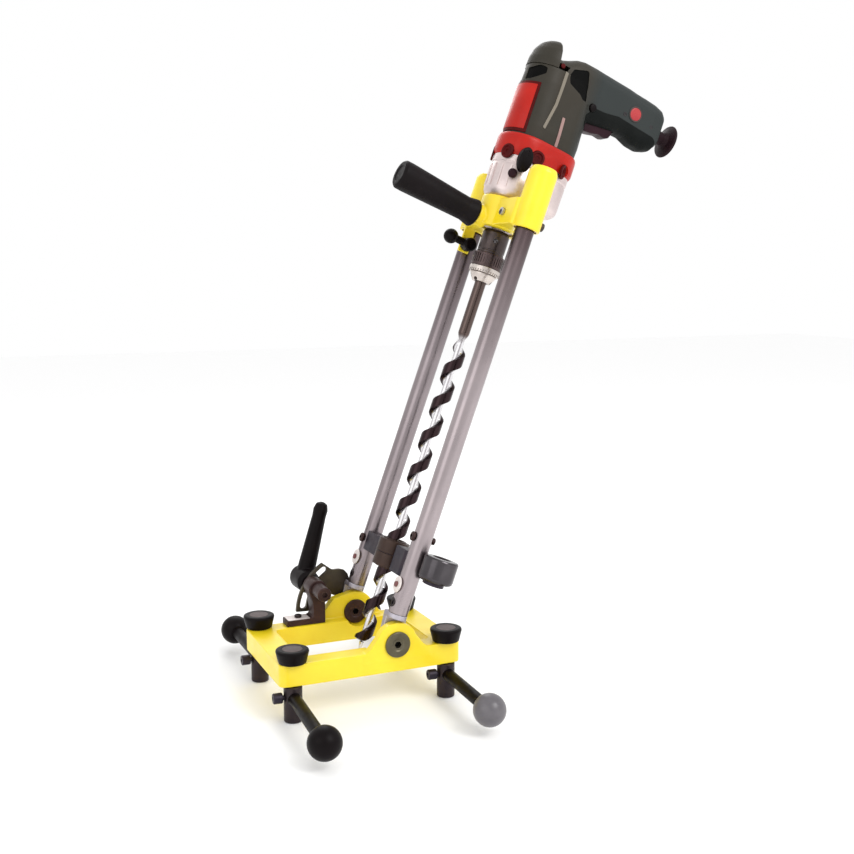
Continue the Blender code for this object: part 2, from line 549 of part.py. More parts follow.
HANDLE = [                   # (w, lowest u, highest u, half thickness)
    (CAP_CUT_W + GAP, 0.7300, 0.7850, 0.0280),
    (-0.0040, 0.7300, 0.7840, 0.0280),
    (0.0060, 0.7290, 0.7880, 0.0265),
    (0.0187, 0.7260, 0.7940, 0.0250),
    (0.0300, 0.7250, 0.7965, 0.0240),
    (0.0500, 0.7220, 0.7965, 0.0225),
    (0.0620, 0.7240, 0.7960, 0.0205),
    (0.1080, 0.7300, 0.7940, 0.0185),
    (0.1220, 0.7300, 0.7925, 0.0185),
    (0.1380, 0.7250, 0.7915, 0.0187),
    (0.1540, 0.7240, 0.7900, 0.0190),
    (0.1660, 0.7280, 0.7870, 0.0182),
    (HANDLE_END, 0.7350, 0.7815, 0.0165),
]
WALL = 0.003


def make_shells(carriage):
    """Two half shells that hold the motor and form the handle."""
    for tag, side in (("front", -1), ("rear", 1)):
        levels = [(SHELL_LOW, 0.0335, 0.0305), (0.6850, 0.0345, 0.0315), (0.7450, 0.0340, 0.0290),
                  (SHELL_TOP, 0.0330, 0.0240)]
        shell = add_object(f"housing_shell_{tag}", egg_loft(levels), "housing_plastic", carriage)
        join(shell, loft([handle_ring(*row) for row in HANDLE]))
        inner = [(0.6600, 0.0310, 0.0280), (0.7450, 0.0310, 0.0260), (0.7620, 0.0300, 0.0210)]
        cut(shell, egg_loft(inner))
        hollow = [(w, low + WALL, high - WALL, half - WALL) for w, low, high, half in HANDLE[3:-1]]
        cut(shell, loft([handle_ring(*row) for row in hollow]))
        cut(shell, rod(0.0290, 0.755, 0.775, 20), frame_at((AXIS_W, 0, 0)))
        cut(shell, box((0.0545, -0.0098, 0.7000), (0.1045, 0.0098, 0.7400)))
        cut(shell, rod(0.0080 + GAP, 0.150, 0.190, 14), frame_at((0, 0, GLAND_U), X))
        if side < 0:
            cut(shell, rod(0.0058, 0.0, 0.05, 12), frame_at((LOCK_W, 0, LOCK_U), -Y))
        edge = side * GAP / 2
        keep = sorted((edge, side * 0.1))
        cut(shell, box((-0.1, keep[0], 0.6), (0.3, keep[1], 0.9)), operation="INTERSECT")


def make_controls(carriage):
    # The step in the trigger's front leaves room for the lock button when both are pressed.
    outline = [(-0.0180, 0.0140), (-0.0180, -0.0006), (-0.0235, -0.0006), (-0.0235, -0.0120),
               (-0.0170, -0.0160), (-0.0070, -0.0150), (0.0050, -0.0120), (0.0150, -0.0130),
               (0.0210, -0.0110), (0.0235, -0.0050), (0.0235, 0.0140)]
    add_object("trigger", prism_y(outline, -0.0094, 0.0094), "black_plastic", carriage,
               frame_at((0.0795, 0, 0.73)))
    button = [(0, 0.0100), (0.0048, 0.0100), (0.0053, 0.0110), (0.0053, 0.0235), (0.0045, 0.0250),
              (0, 0.0254)]
    add_object("trigger_lock_button", turned(button, 12), "black_plastic", carriage,
               frame_at((LOCK_W, 0, LOCK_U), -Y))
    add_object("switch_module", box((0.0580, -0.0120, 0.7520), (0.1080, 0.0120, 0.7760)), "black_plastic",
               carriage)
    badge = [(0, 0), (0.0085, 0), (0.0085, 0.0007), (0.0070, 0.0010), (0, 0.0010)]
    add_object("handle_badge", turned(badge, 14), "red_paint", carriage,
               frame_at((0.1235, -0.0185 - GAP, 0.7620), -Y))
    gland = [(0, 0.1675), (0.0080, 0.1675), (0.0080, 0.1720), (0.0105, 0.1725), (0.0090, 0.1850),
             (0.0120, 0.1900), (0.0220, 0.1925), (0.0230, 0.1945), (0.0215, 0.1968), (0.0080, 0.1980),
             (0, 0.1980)]
    add_object("cord_gland", turned(gland, 14), "black_plastic", carriage, frame_at((0, 0, GLAND_U), X))

    # Oval gear selector and round release button; their stems run into the gearbox housing.
    place = frame_at(SELECTOR_AT, -Y)
    oval = [(0.0098 * cos(a), 0.0165 * sin(a)) for a in (2 * pi * i / 20 for i in range(20))]
    layers = ((-0.0002, 0.80), (0.0020, 1.0), (0.0080, 1.0), (0.0100, 0.80))
    selector = add_object("gear_selector", loft([[(a * s, b * s, h) for a, b in oval] for h, s in layers]),
                          "black_plastic", carriage, place)
    join(selector, rod(STEM_R, -STEM_LENGTH, 0.0010, 12), place)
    knob = [(0, -STEM_LENGTH), (STEM_R, -STEM_LENGTH), (STEM_R, 0.0), (0.0045, 0.0), (0.0060, 0.0015),
            (0.0060, 0.0050), (0.0045, 0.0065), (0, 0.0068)]
    add_object("selector_button", turned(knob, 12), "dark_steel", carriage,
               frame_at(BUTTON_AT, BUTTON_AXIS))


def make_chuck(carriage):
    axis = frame_at((AXIS_W, 0, 0))
    body = [(0.0078, 0.4740), (0.0100, 0.4740), (0.0150, 0.4845), (0.0165, 0.4850), (0.0165, 0.5120),
            (0.0180, 0.5122), (0.0180, 0.5400), (0.0165, 0.5442), (0.0083, 0.5442), (0.0083, 0.5280),
            (0, 0.5270), (0, 0.5010), (0.0078, 0.5000)]
    add_object("chuck_body", turned(body, 20), "dark_steel", carriage, axis)
    add_object("chuck_ring", tube(0.0208, 0.0168, 0.4855, 0.5117, 20), "steel", carriage, axis)


def make_bit(carriage):
    """Shank and single-spiral auger; every slice is the last one turned a little."""
    samples, per_turn = 10, 7
    low, high = -0.022, 0.395
    slices = int((high - low) / BIT_PITCH * per_turn)
    rings = [[(0.0012 * cos(2 * pi * k / samples), 0.0012 * sin(2 * pi * k / samples), -0.038)
              for k in range(samples)],
             [(0.0030 * cos(2 * pi * k / samples), 0.0030 * sin(2 * pi * k / samples), -0.024)
              for k in range(samples)]]
    for i in range(slices + 1):
        u = low + (high - low) * i / slices
        turn = 2 * pi * u / BIT_PITCH
        fade = min(1.0, (high - u) / 0.020, (u - low) / 0.002 + 0.55)
        ring = []
        for k in range(samples):
            a = 2 * pi * k / samples
            away = min(a, 2 * pi - a) * 180 / pi
            rise = max(0.0, min(1.0, (70 - away) / 35))
            r = BIT_CORE + (BIT_R - BIT_CORE) * rise * fade
            ring.append((r * cos(a + turn), r * sin(a + turn), u))
        rings.append(ring)
    end_turn = 2 * pi * high / BIT_PITCH
    for r, u in ((0.0060, 0.3990), (0.0075, 0.4030), (0.0075, 0.4990)):
        rings.append([(r * cos(2 * pi * k / samples + end_turn), r * sin(2 * pi * k / samples + end_turn), u)
                      for k in range(samples)])
    add_object("auger_bit", loft(rings), "bright_steel", carriage, frame_at((AXIS_W, 0, 0)))


# Assembly -------------------------------------------------------------------------------------
def main():
    clear_scene()
    make_base_frame()
    make_pivot_bolt("pivot_bolt_front", -EAR_OUT - GAP - 0.0030, -0.0590)
    make_pivot_bolt("pivot_bolt_rear", EAR_IN - GAP - 0.0030, 0.0905)
    left, right = CORNER_X
    make_corner("front_left", left, -1, -3.4, 0.145)
    make_corner("front_right", right, -1, -2.1, 0.134)
    make_corner("rear_left", left, 1, 0.0, 0.130)
    make_corner("rear_right", right, 1, 0.0, 0.130)
    make_tilt_lock()

    mast = bpy.data.objects.new("mast_frame", None)
    bpy.context.collection.objects.link(mast)
    mast.matrix_local = Matrix.Translation((0, 0, PIVOT_Z)) @ Matrix.Rotation(MAST_LEAN, 4, "Y")
    for tag, side in (("front", -1), ("rear", 1)):
        make_leg(f"mast_leg_{tag}", side, mast)
        make_column(f"column_{tag}", side, mast)
        make_column_screws(tag, side, mast)
    make_sector(mast)
    make_guide(mast)

    carriage = bpy.data.objects.new("carriage_frame", None)
    bpy.context.collection.objects.link(carriage)
    carriage.parent = mast
    make_carriage(carriage)
    make_gearbox(carriage)
    make_motor(carriage)
    make_shells(carriage)
    make_controls(carriage)
    make_chuck(carriage)
    make_bit(carriage)


main()
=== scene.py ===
"""Looks of the tilting timber drill stand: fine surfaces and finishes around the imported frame.

Mast pieces use the mast's own coordinates: w across the columns in the tilt plane, y, and u along
the columns. Every size is in metres.
"""
import json
from functools import partial
from math import acos, atan2, cos, degrees, pi, radians, sin, tan

import bmesh
import bpy
from mathutils import Matrix, Vector


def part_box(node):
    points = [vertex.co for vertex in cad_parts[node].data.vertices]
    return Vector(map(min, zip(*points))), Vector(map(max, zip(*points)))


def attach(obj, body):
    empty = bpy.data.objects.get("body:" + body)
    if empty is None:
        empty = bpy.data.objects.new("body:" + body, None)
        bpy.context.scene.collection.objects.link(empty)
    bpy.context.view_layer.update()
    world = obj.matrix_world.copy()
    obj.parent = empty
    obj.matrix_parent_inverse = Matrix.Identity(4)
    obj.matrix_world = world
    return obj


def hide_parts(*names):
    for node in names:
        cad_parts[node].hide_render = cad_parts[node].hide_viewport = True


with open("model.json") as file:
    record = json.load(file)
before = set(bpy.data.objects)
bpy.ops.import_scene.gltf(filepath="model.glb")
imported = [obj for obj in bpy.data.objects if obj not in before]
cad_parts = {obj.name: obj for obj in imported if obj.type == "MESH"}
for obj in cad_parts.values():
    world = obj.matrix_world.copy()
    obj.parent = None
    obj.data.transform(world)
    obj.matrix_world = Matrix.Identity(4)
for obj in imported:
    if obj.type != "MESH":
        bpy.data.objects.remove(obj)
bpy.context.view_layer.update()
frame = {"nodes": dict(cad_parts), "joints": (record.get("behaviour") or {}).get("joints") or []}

# Places taken from the frame
X, Y, Z = Vector((1, 0, 0)), Vector((0, 1, 0)), Vector((0, 0, 1))
JOINT = {joint["name"]: joint for joint in frame["joints"]}
PIVOT = Vector(JOINT["mast_tilt"]["pos_m"])
MAST_U = Vector(JOINT["carriage_feed"]["axis"])
MAST = Matrix.Translation(PIVOT) @ Matrix.Rotation(atan2(MAST_U.x, MAST_U.z), 4, "Y")
WORLD = Matrix.Identity(4)


def in_mast(point):
    return MAST.inverted() @ Vector(point)


def extent(node, place=MAST):
    """Lowest and highest corner of a CAD node in the coordinates of place."""
    back = place.inverted()
    spots = [back @ v.co for v in frame["nodes"][node].data.vertices]
    return tuple(Vector([pick(s[i] for s in spots) for i in range(3)]) for pick in (min, max))


AXIS_W = in_mast(JOINT["spindle_spin"]["pos_m"]).x
LAY_W = in_mast(JOINT["lay_gear_spin"]["pos_m"]).x
BASE_LOW, BASE_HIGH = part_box("base_frame")
COL_LOW, COL_HIGH = extent("column_rear")
COL_Y = (COL_LOW.y + COL_HIGH.y) / 2
KNOB_SPOTS = {tag: Vector(JOINT[f"knob_{tag}_turn"]["pos_m"])
              for tag in ("front_left", "front_right", "rear_left", "rear_right")}
CLAMP = Vector(JOINT["tilt_lever_turn"]["pos_m"])
SIDES = (("front", -1), ("rear", 1))

# Driving sizes, the same as the frame's
GAP = 0.0003
SCREW_R, STUD_R, PIVOT_R, CLAMP_BOLT_R = 0.0030, 0.0050, 0.0080, 0.0040
RAIL_H = 0.028
LOCK_SCREW_XY = (-0.082, 0.070)
OPENING_X, OPENING_Y = (-0.118, 0.056), 0.056
EAR_IN, EAR_OUT, EAR_R = 0.0700, 0.0830, 0.0275
POST_R, POST_BOTTOM, ROD_Z, ROD_R, BALL_R = 0.0115, -0.045, -0.0145, 0.008, 0.020
CLAMP_R = (CLAMP.x ** 2 + (CLAMP.z - PIVOT.z) ** 2) ** 0.5
COL_R, COL_BORE = 0.0125, 0.0095
LEG_Y = {-1: (-0.0695, -0.0600), 1: (0.0833, 0.0877)}
SPIGOT_SCREW_U, SET_SCREW_U, SET_SCREW_R = 0.0720, 0.0490, 0.0062
GUIDE_BOLT_U = {-1: 0.1355, 1: 0.1000}
GUIDE_LOW, GUIDE_TOP, STUD_AT = 0.0800, 0.1160, (0.0110, -0.1040)
SLEEVE_R, SLEEVE_LOW, SLEEVE_TOP, BUSH_R = 0.0185, 0.545, 0.626, 0.0147
COLLAR_R, NECK_R, COLLAR_TOP = 0.033, 0.0215, 0.585
BOSS_U, GRIP_LEAN = 0.5515, 0.077
LEVER_AT = (-0.0225, 0.0570, 0.5225)
COLLAR_SCREW_AT = (AXIS_W, -0.0450, 0.5620)
OFFSET_W = 0.030
BIT_R, BIT_CORE, BIT_PITCH = 0.0115, 0.0042, 0.0466
FLANGE_LOW, FLANGE_TOP = 0.6403, 0.669
SHELL_LOW, SHELL_TOP = 0.6693, 0.765
CAP_CUT_W, HANDLE_END, GLAND_U = -0.0150, 0.1718, 0.7540
LOCK_W, LOCK_U, LOCK_HOLE_R = 0.0560, 0.7420, 0.0058
SELECTOR_AT = (-0.0250, -0.0390, 0.6342)
BUTTON_AT, BUTTON_AXIS = (-0.0300, -0.0320, 0.6146), (-0.45, -1, 0)
WALL = 0.003
ROUND = 64                   # sides of a turned piece


# Shapes
def at(point, axis=Z, base=MAST):
    """Matrix whose Z axis points along axis, with its origin at point, in the coordinates of base."""
    turn = Z.rotation_difference(Vector(axis)).to_matrix().to_4x4()
    return base @ Matrix.Translation(Vector(point)) @ turn


def local(point, axis=Z):
    """The same matrix, in the piece's own coordinates."""
    return at(point, axis, WORLD)


def upright(w, y=0.0):
    """An axis along Z through (w, y), in the piece's own coordinates."""
    return local((w, y, 0))


def soften(points, radius, steps=4, closed=False):
    """Round the corners of a line of 2-D points."""
    if radius <= 0:
        return list(points)
    line = [Vector(p) for p in points]
    out = []
    for i, corner in enumerate(line):
        back, ahead = line[i - 1] - corner, line[(i + 1) % len(line)] - corner
        ends = not closed and i in (0, len(line) - 1)
        if ends or back.angle(ahead) > radians(170):
            out.append(tuple(corner))
            continue
        cut = min(radius / tan(back.angle(ahead) / 2), 0.45 * back.length, 0.45 * ahead.length)
        start, end = corner + back.normalized() * cut, corner + ahead.normalized() * cut
        for k in range(steps + 1):
            t = k / steps
            out.append(tuple(start * (1 - t) ** 2 + corner * (2 * t * (1 - t)) + end * t * t))
    return out


def turned(profile, radius=0.0006, segments=ROUND):
    """Solid of revolution about Z through (r, z) points, with softened corners."""
    closed = profile[0][0] > 1e-7 and profile[-1][0] > 1e-7
    bm = bmesh.new()
    rows = []
    for r, z in soften(profile, radius, closed=closed):
        if r < 1e-7:
            rows.append([bm.verts.new((0, 0, z))])
            continue
        steps = [2 * pi * (i + 0.5) / segments for i in range(segments)]
        rows.append([bm.verts.new((r * cos(a), r * sin(a), z)) for a in steps])
    pairs = list(zip(rows, rows[1:])) + ([(rows[-1], rows[0])] if closed else [])
    for low, high in pairs:
        for i in range(segments):
            j = (i + 1) % segments
            corners = [low[i % len(low)], low[j % len(low)], high[j % len(high)], high[i % len(high)]]
            bm.faces.new(list(dict.fromkeys(corners)))
    return bm


def rod(r, low, high, segments=ROUND, radius=0.0):
    return turned([(0, low), (r, low), (r, high), (0, high)], radius, segments)


def ball_end(r, middle, start, steps):
    """Profile of a ball of radius r at height middle, from an angle in degrees up to its top."""
    spots = [radians(start + (90 - start) * i / steps) for i in range(steps)]
    return [(r * cos(a), middle + r * sin(a)) for a in spots] + [(0, middle + r)]


def tube(r_out, r_in, low, high, radius=0.0004):
    return turned([(r_in, low), (r_out, low), (r_out, high), (r_in, high)], radius)


def hexagon(r, low, high):
    return prism([(r * cos(pi * k / 3), r * sin(pi * k / 3)) for k in range(6)], low, high)


def loft(rings):
    """Closed solid through rings of points with equal counts."""
    bm = bmesh.new()
    rows = [[bm.verts.new(p) for p in ring] for ring in rings]
    for low, high in zip(rows, rows[1:]):
        for i in range(len(low)):
            j = (i + 1) % len(low)
            bm.faces.new((low[i], low[j], high[j], high[i]))
    bm.faces.new(rows[0])
    bm.faces.new(rows[-1])
    return bm


def prism(outline, low, high, upright=False):
    """Outline run straight from low to high, along Z or, upright, along Y."""
    return loft([[(a, h, b) if upright else (a, b, h) for a, b in outline] for h in (low, high)])


def box(low, high):
    bm = bmesh.new()
    bmesh.ops.create_cube(bm, size=1.0)
    for v in bm.verts:
        v.co = Vector([a + (b - a) * (c + 0.5) for a, b, c in zip(low, high, v.co)])
    return bm


def inset(outline, d):
    """A closed outline moved inwards by d."""
    area = sum(a[0] * b[1] - b[0] * a[1] for a, b in zip(outline, outline[1:] + outline[:1]))
    side = 1 if area > 0 else -1
    out = []
    for i, spot in enumerate(outline):
        here = Vector(spot)
        before = (here - Vector(outline[i - 1])).normalized()
        after = (Vector(outline[(i + 1) % len(outline)]) - here).normalized()
        along = (before + after).normalized()
        reach = d * side / max(0.5, along.dot(before))
        out.append((here.x - along.y * reach, here.y + along.x * reach))
    return out


def slab(outline, low, high, radius=0.0008, steps=3, upright=False):
    """Outline extruded from low to high with rounded rims; upright runs it along Y."""
    rings = []
    for end, sign in ((low, 1), (high, -1)):
        rim = []
        for k in range(steps + 1):
            a = pi / 2 * k / steps
            level = end + sign * radius * (1 - cos(a))
            rim.append([(p, q, level) for p, q in inset(outline, radius * (1 - sin(a)))])
        rings += rim if sign > 0 else rim[::-1]
    if upright:
        rings = [[(p, h, q) for p, q, h in ring] for ring in rings]
    return loft(rings)


def arc(cx, cy, r, start, end, steps):
    """Points on a circle. Angles in degrees from the first axis."""
    spots = [radians(start + (end - start) * i / steps) for i in range(steps + 1)]
    return [(cx + r * cos(a), cy + r * sin(a)) for a in spots]


def round_rect(x0, x1, y0, y1, r, steps=6):
    return (arc(x1 - r, y1 - r, r, 0, 90, steps) + arc(x0 + r, y1 - r, r, 90, 180, steps)
            + arc(x0 + r, y0 + r, r, 180, 270, steps) + arc(x1 - r, y0 + r, r, 270, 360, steps))


def egg(r0, r1, steps=20):
    """Outline around a round r0 on the spindle axis and a smaller round r1 at OFFSET_W."""
    beta = degrees(acos((r0 - r1) / (OFFSET_W - AXIS_W)))
    return arc(OFFSET_W, 0, r1, -beta, beta, steps) + arc(AXIS_W, 0, r0, beta, 360 - beta, steps + 12)


def egg_loft(levels):
    return loft([[(a, b, u) for a, b in egg(r0, r1)] for u, r0, r1 in levels])


# Building pieces and attaching them to their bodies
def solid(bm, name="part"):
    bmesh.ops.recalc_face_normals(bm, faces=bm.faces)
    mesh = bpy.data.meshes.new(name)
    bm.to_mesh(mesh)
    bm.free()
    obj = bpy.data.objects.new(name, mesh)
    bpy.context.scene.collection.objects.link(obj)
    return obj


def drop(obj):
    bpy.data.objects.remove(obj, do_unlink=True)


def settle(obj):
    """Apply the modifiers of obj."""
    bpy.context.view_layer.update()
    graph = bpy.context.evaluated_depsgraph_get()
    mesh = bpy.data.meshes.new_from_object(obj.evaluated_get(graph))
    obj.modifiers.clear()
    obj.data = mesh


def carve(obj, bm, place=WORLD, operation="DIFFERENCE", solver="EXACT"):
    """Boolean of obj with the solid in bm, which stands at place in obj's own coordinates."""
    tool = solid(bm, "tool")
    tool.matrix_world = obj.matrix_world @ place
    mod = obj.modifiers.new("boolean", "BOOLEAN")
    mod.operation, mod.object, mod.solver = operation, tool, solver
    settle(obj)
    drop(tool)


def cut(obj, bm, place=WORLD, operation="DIFFERENCE"):
    """The quick boolean, for solids that are closed and clean."""
    carve(obj, bm, place, operation, "MANIFOLD")


def grown(obj, distance):
    """Copy of obj's mesh with every point moved out by distance."""
    bm = bmesh.new()
    bm.from_mesh(obj.data)
    bm.normal_update()
    spots = [v.co + v.normal * distance for v in bm.verts]
    for v, spot in zip(bm.verts, spots):
        v.co = spot
    return bm


def skin(obj, outline, outer, inner, reach):
    """Piece that follows the surface of obj: the outline, run along Y over reach, between two depths."""
    layer = solid(grown(obj, outer))
    cut(layer, prism(outline, *reach, upright=True), WORLD, "INTERSECT")
    cut(layer, grown(obj, inner))
    return layer


def add(obj, bm, place=WORLD):
    carve(obj, bm, place, "UNION")


def cast(obj, voxel, rounds=5, keep=0.4):
    """Give a rough solid the soft edges and blended joins of a casting or moulding.

    The smoothing runs for rounds, and keep is the share of the faces that stay.
    """
    remesh = obj.modifiers.new("remesh", "REMESH")
    remesh.mode, remesh.voxel_size, remesh.adaptivity = "VOXEL", voxel, 0.0
    smooth = obj.modifiers.new("smooth", "SMOOTH")
    smooth.factor, smooth.iterations = 0.5, rounds
    thin = obj.modifiers.new("thin", "DECIMATE")
    thin.ratio = keep
    settle(obj)


def piece(name, shape, finish, slot, body, place=WORLD, nodes=(), sharp=32):
    """Name, place and shade a piece of the object, and attach it to its body."""
    obj = solid(shape, name) if isinstance(shape, bmesh.types.BMesh) else shape
    obj.name = obj.data.name = name
    obj.data.materials.clear()
    obj.data.materials.append(finish)
    obj.data.shade_smooth()
    obj.data.set_sharp_from_angle(angle=radians(sharp))
    obj.matrix_world = place
    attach(obj, body)
    if nodes:
        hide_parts(*nodes)
    return obj


def socket_screw(name, place, r, h, finish, body, slot="dark_steel", hex_share=0.55):
    """Cap screw head with a hexagon socket; Z points out of the head."""
    head = solid(turned([(0, -h * 0.2), (r, -h * 0.2), (r, h), (0, h)], r * 0.15, 40))
    carve(head, hexagon(r * hex_share, h * 0.35, h * 2))
    return piece(name, head, finish, slot, body, place)


# Finishes
NOISE_ROUGHNESS = 0.62
EDGE_WIDTH = 0.0007          # width of a worn edge
COLOUR_A, COLOUR_B, COLOUR_OUT = 6, 7, 2     # colour sockets of a Mix node


def shader_node(mat, kind, output, inputs, **settings):
    """Output of a new shader node; its inputs are values, or sockets to link from."""
    tree = mat.node_tree
    made = tree.nodes.new("ShaderNode" + kind)
    for key, value in settings.items():
        setattr(made, key, value)
    for key, value in inputs.items():
        if isinstance(value, bpy.types.NodeSocket):
            tree.links.new(value, made.inputs[key])
        else:
            made.inputs[key].default_value = value
    return made.outputs[output]


def noise(mat, source, scale, detail=4.0):
    settings = {"Vector": source, "Scale": scale, "Detail": detail, "Roughness": NOISE_ROUGHNESS}
    return shader_node(mat, "TexNoise", "Fac", settings)


def spread_out(mat, source, low, high, to_low=0.0, to_high=1.0):
    """Map low..high of source to to_low..to_high."""
    ends = {"From Min": low, "From Max": high, "To Min": to_low, "To Max": to_high}
    return shader_node(mat, "MapRange", "Result", {"Value": source, **ends})


def mixed(mat, share, first, second):
    """Mix of two colours, each a socket or (r, g, b)."""
    first, second = ((*c, 1.0) if isinstance(c, tuple) else c for c in (first, second))
    return shader_node(mat, "Mix", COLOUR_OUT, {0: share, COLOUR_A: first, COLOUR_B: second},
                       data_type="RGBA")


def object_coords(mat):
    """Sockets for the object's own coordinates: all in one, each alone, and the distance from Z."""
    coords = shader_node(mat, "TexCoord", "Object", {})
    parts = shader_node(mat, "SeparateXYZ", "Z", {0: coords}).node.outputs
    flat = shader_node(mat, "CombineXYZ", 0, {"X": parts["X"], "Y": parts["Y"]})
    return coords, parts, shader_node(mat, "VectorMath", "Value", {0: flat}, operation="LENGTH")


def surface(name, colour, other, rough, metal=0.0, mottle=40, grain=1500, bump=0.2, depth=0.0001,
            stretch=(1, 1, 1), spread=0.08, edge=None, edge_share=0.6, lathe=False, coat=0.0, level=0.5,
            fade=None):
    """Principled finish with mottled colour, varied roughness, fine grain and worn edges.

    A lathe finish has its grain in rings round the object's Z axis. fade is (axis, start, end,
    colour): the colour takes over between start and end along the axis.
    """
    mat = bpy.data.materials.new(name)
    mat.use_nodes = True
    shader = mat.node_tree.nodes["Principled BSDF"]
    for key, value in (("Metallic", metal), ("Coat Weight", coat), ("Coat Roughness", 0.15),
                       ("Specular IOR Level", level)):
        shader.inputs[key].default_value = value
    coords, parts, from_axis = object_coords(mat)
    grain_coords = coords
    if lathe:
        grain_coords = shader_node(mat, "CombineXYZ", 0, {"X": from_axis, "Z": parts["Z"]})
    stretched = shader_node(mat, "Mapping", 0, {"Vector": grain_coords, "Scale": stretch})

    base = mixed(mat, spread_out(mat, noise(mat, coords, mottle, 5.0), 0.34, 0.68), colour, other)
    if fade is not None:
        axis, start, end, late = fade
        base = mixed(mat, spread_out(mat, parts[axis], start, end), base, late)
    if edge is not None:
        # The bevelled normal leaves the true one only near an edge.
        bevelled = shader_node(mat, "Bevel", 0, {"Radius": EDGE_WIDTH}, samples=4)
        normal = shader_node(mat, "NewGeometry", "Normal", {})
        agree = shader_node(mat, "VectorMath", "Value", {0: bevelled, 1: normal}, operation="DOT_PRODUCT")
        rim = spread_out(mat, agree, 0.985, 0.86, 0.0, edge_share)
        chips = spread_out(mat, noise(mat, coords, 160.0, 6.0), 0.40, 0.60)
        worn = shader_node(mat, "Math", 0, {0: rim, 1: chips}, operation="MULTIPLY")
        base = mixed(mat, worn, base, edge)
    smudge = spread_out(mat, noise(mat, coords, mottle * 2.7), 0.3, 0.7, rough - spread, rough + spread)
    relief = {"Strength": bump, "Distance": depth, "Height": noise(mat, stretched, grain, 3.0)}
    for key, value in (("Base Color", base), ("Roughness", smudge),
                       ("Normal", shader_node(mat, "Bump", "Normal", relief))):
        mat.node_tree.links.new(value, shader.inputs[key])
    return mat


YELLOW = surface("yellow_powder_coat", (0.90, 0.72, 0.022), (0.84, 0.62, 0.010), 0.36, mottle=14, grain=520,
                 bump=0.22, depth=0.0004, edge=(0.42, 0.30, 0.10), edge_share=0.45, coat=0.15)
RED = surface("red_enamel", (0.46, 0.012, 0.005), (0.36, 0.008, 0.004), 0.34, mottle=26, grain=620,
              bump=0.18, depth=0.0003, edge=(0.30, 0.05, 0.04), coat=0.05, level=0.2)
# Darker copy of the red enamel, as painted shade: used in the flange's screw wells, on the heel screws and
# round the side panel.
SHADED_RED = surface("red_enamel_shaded", (0.085, 0.0012, 0.0016), (0.055, 0.0010, 0.0012), 0.5, grain=700,
                   bump=0.15, depth=0.0002, level=0.12)
# The fade darkens each column towards the carriage: painted shade and reflection.
COLUMN_STEEL = surface("ground_column_steel", (0.40, 0.345, 0.355), (0.33, 0.285, 0.295), 0.30, 1.0,
                       mottle=9, grain=260, bump=0.12, stretch=(14, 14, 0.6), spread=0.07,
                       edge=(0.7, 0.68, 0.68), fade=("Z", 0.34, 0.54, (0.105, 0.075, 0.078)))
# The rear column's steel is a darker copy of the front one's: painted shade.
SHADED_REAR_COLUMN_STEEL = surface("shaded_column_steel", (0.30, 0.255, 0.265), (0.245, 0.21, 0.22), 0.30, 1.0,
                            mottle=9, grain=260, bump=0.12, stretch=(14, 14, 0.6), spread=0.07,
                            edge=(0.6, 0.58, 0.58), fade=("Z", 0.36, 0.56, (0.080, 0.058, 0.062)))
NUT_STEEL = surface("dark_polished_steel", (0.085, 0.078, 0.083), (0.055, 0.050, 0.055), 0.22, 1.0,
                    mottle=24, grain=3200, bump=0.16, depth=0.00008, spread=0.06, edge=(0.75, 0.74, 0.74),
                    lathe=True)
OLIVE_STEEL = surface("olive_steel", (0.150, 0.132, 0.088), (0.105, 0.092, 0.062), 0.38, 0.9, grain=2200,
                      edge=(0.36, 0.34, 0.28), lathe=True)
KNOB_TOP_SHEEN = surface("knob_top_painted_sheen", (0.045, 0.026, 0.024), (0.070, 0.040, 0.036), 0.45, bump=0.25,
                   level=0.3)
CHUCK_SLEEVE = surface("chuck_sleeve_steel", (0.100, 0.070, 0.068), (0.070, 0.048, 0.048), 0.34, 0.9,
                       grain=2400, edge=(0.30, 0.26, 0.25), lathe=True)
# Near-black with almost no shine: painted shade for holes and recesses.
RECESS_SHADE = surface("painted_recess_shade", (0.0022, 0.0024, 0.0022), (0.0042, 0.0040, 0.0036), 0.6, mottle=30,
                       bump=0.3, level=0.05)
BAR_GREY = surface("bar_grey", (0.34, 0.21, 0.19), (0.27, 0.16, 0.15), 0.34, 0.3)
BADGE_EDGE = surface("badge_edge", (0.030, 0.014, 0.012), (0.045, 0.022, 0.018), 0.45, mottle=60)
GLAND_RUBBER = surface("gland_rubber", (0.010, 0.0035, 0.0055), (0.018, 0.007, 0.010), 0.55, mottle=30,
                       bump=0.4, depth=0.00015, level=0.12)
STEEL = surface("turned_steel", (0.50, 0.48, 0.49), (0.38, 0.36, 0.38), 0.30, 1.0, mottle=30, grain=2600,
                bump=0.22, edge=(0.74, 0.72, 0.70), lathe=True)
BRIGHT = surface("polished_steel", (0.78, 0.77, 0.79), (0.66, 0.65, 0.68), 0.20, 1.0, mottle=24, grain=3200,
                 bump=0.16, depth=0.00008, spread=0.06, edge=(0.9, 0.9, 0.9), lathe=True)
CAST_ALLOY = surface("fine_cast_alloy", (0.74, 0.64, 0.62), (0.62, 0.52, 0.51), 0.42, 0.85, mottle=34,
                     grain=1100, bump=0.30, depth=0.0002, edge=(0.86, 0.80, 0.78))
LEG_ALLOY = surface("grey_cast_alloy", (0.50, 0.47, 0.52), (0.38, 0.35, 0.40), 0.44, 0.85, mottle=34,
                    grain=1000, bump=0.30, depth=0.0002, edge=(0.74, 0.72, 0.76))
BLACK_OXIDE = surface("black_oxide_steel", (0.020, 0.014, 0.018), (0.032, 0.020, 0.020), 0.40, 0.6,
                      mottle=45, edge=(0.30, 0.28, 0.29), edge_share=0.5)
GUIDE_IRON = surface("blued_guide_iron", (0.018, 0.014, 0.026), (0.032, 0.020, 0.028), 0.42, 0.5, grain=900,
                     bump=0.35, depth=0.0002, edge=(0.22, 0.20, 0.24), edge_share=0.5)
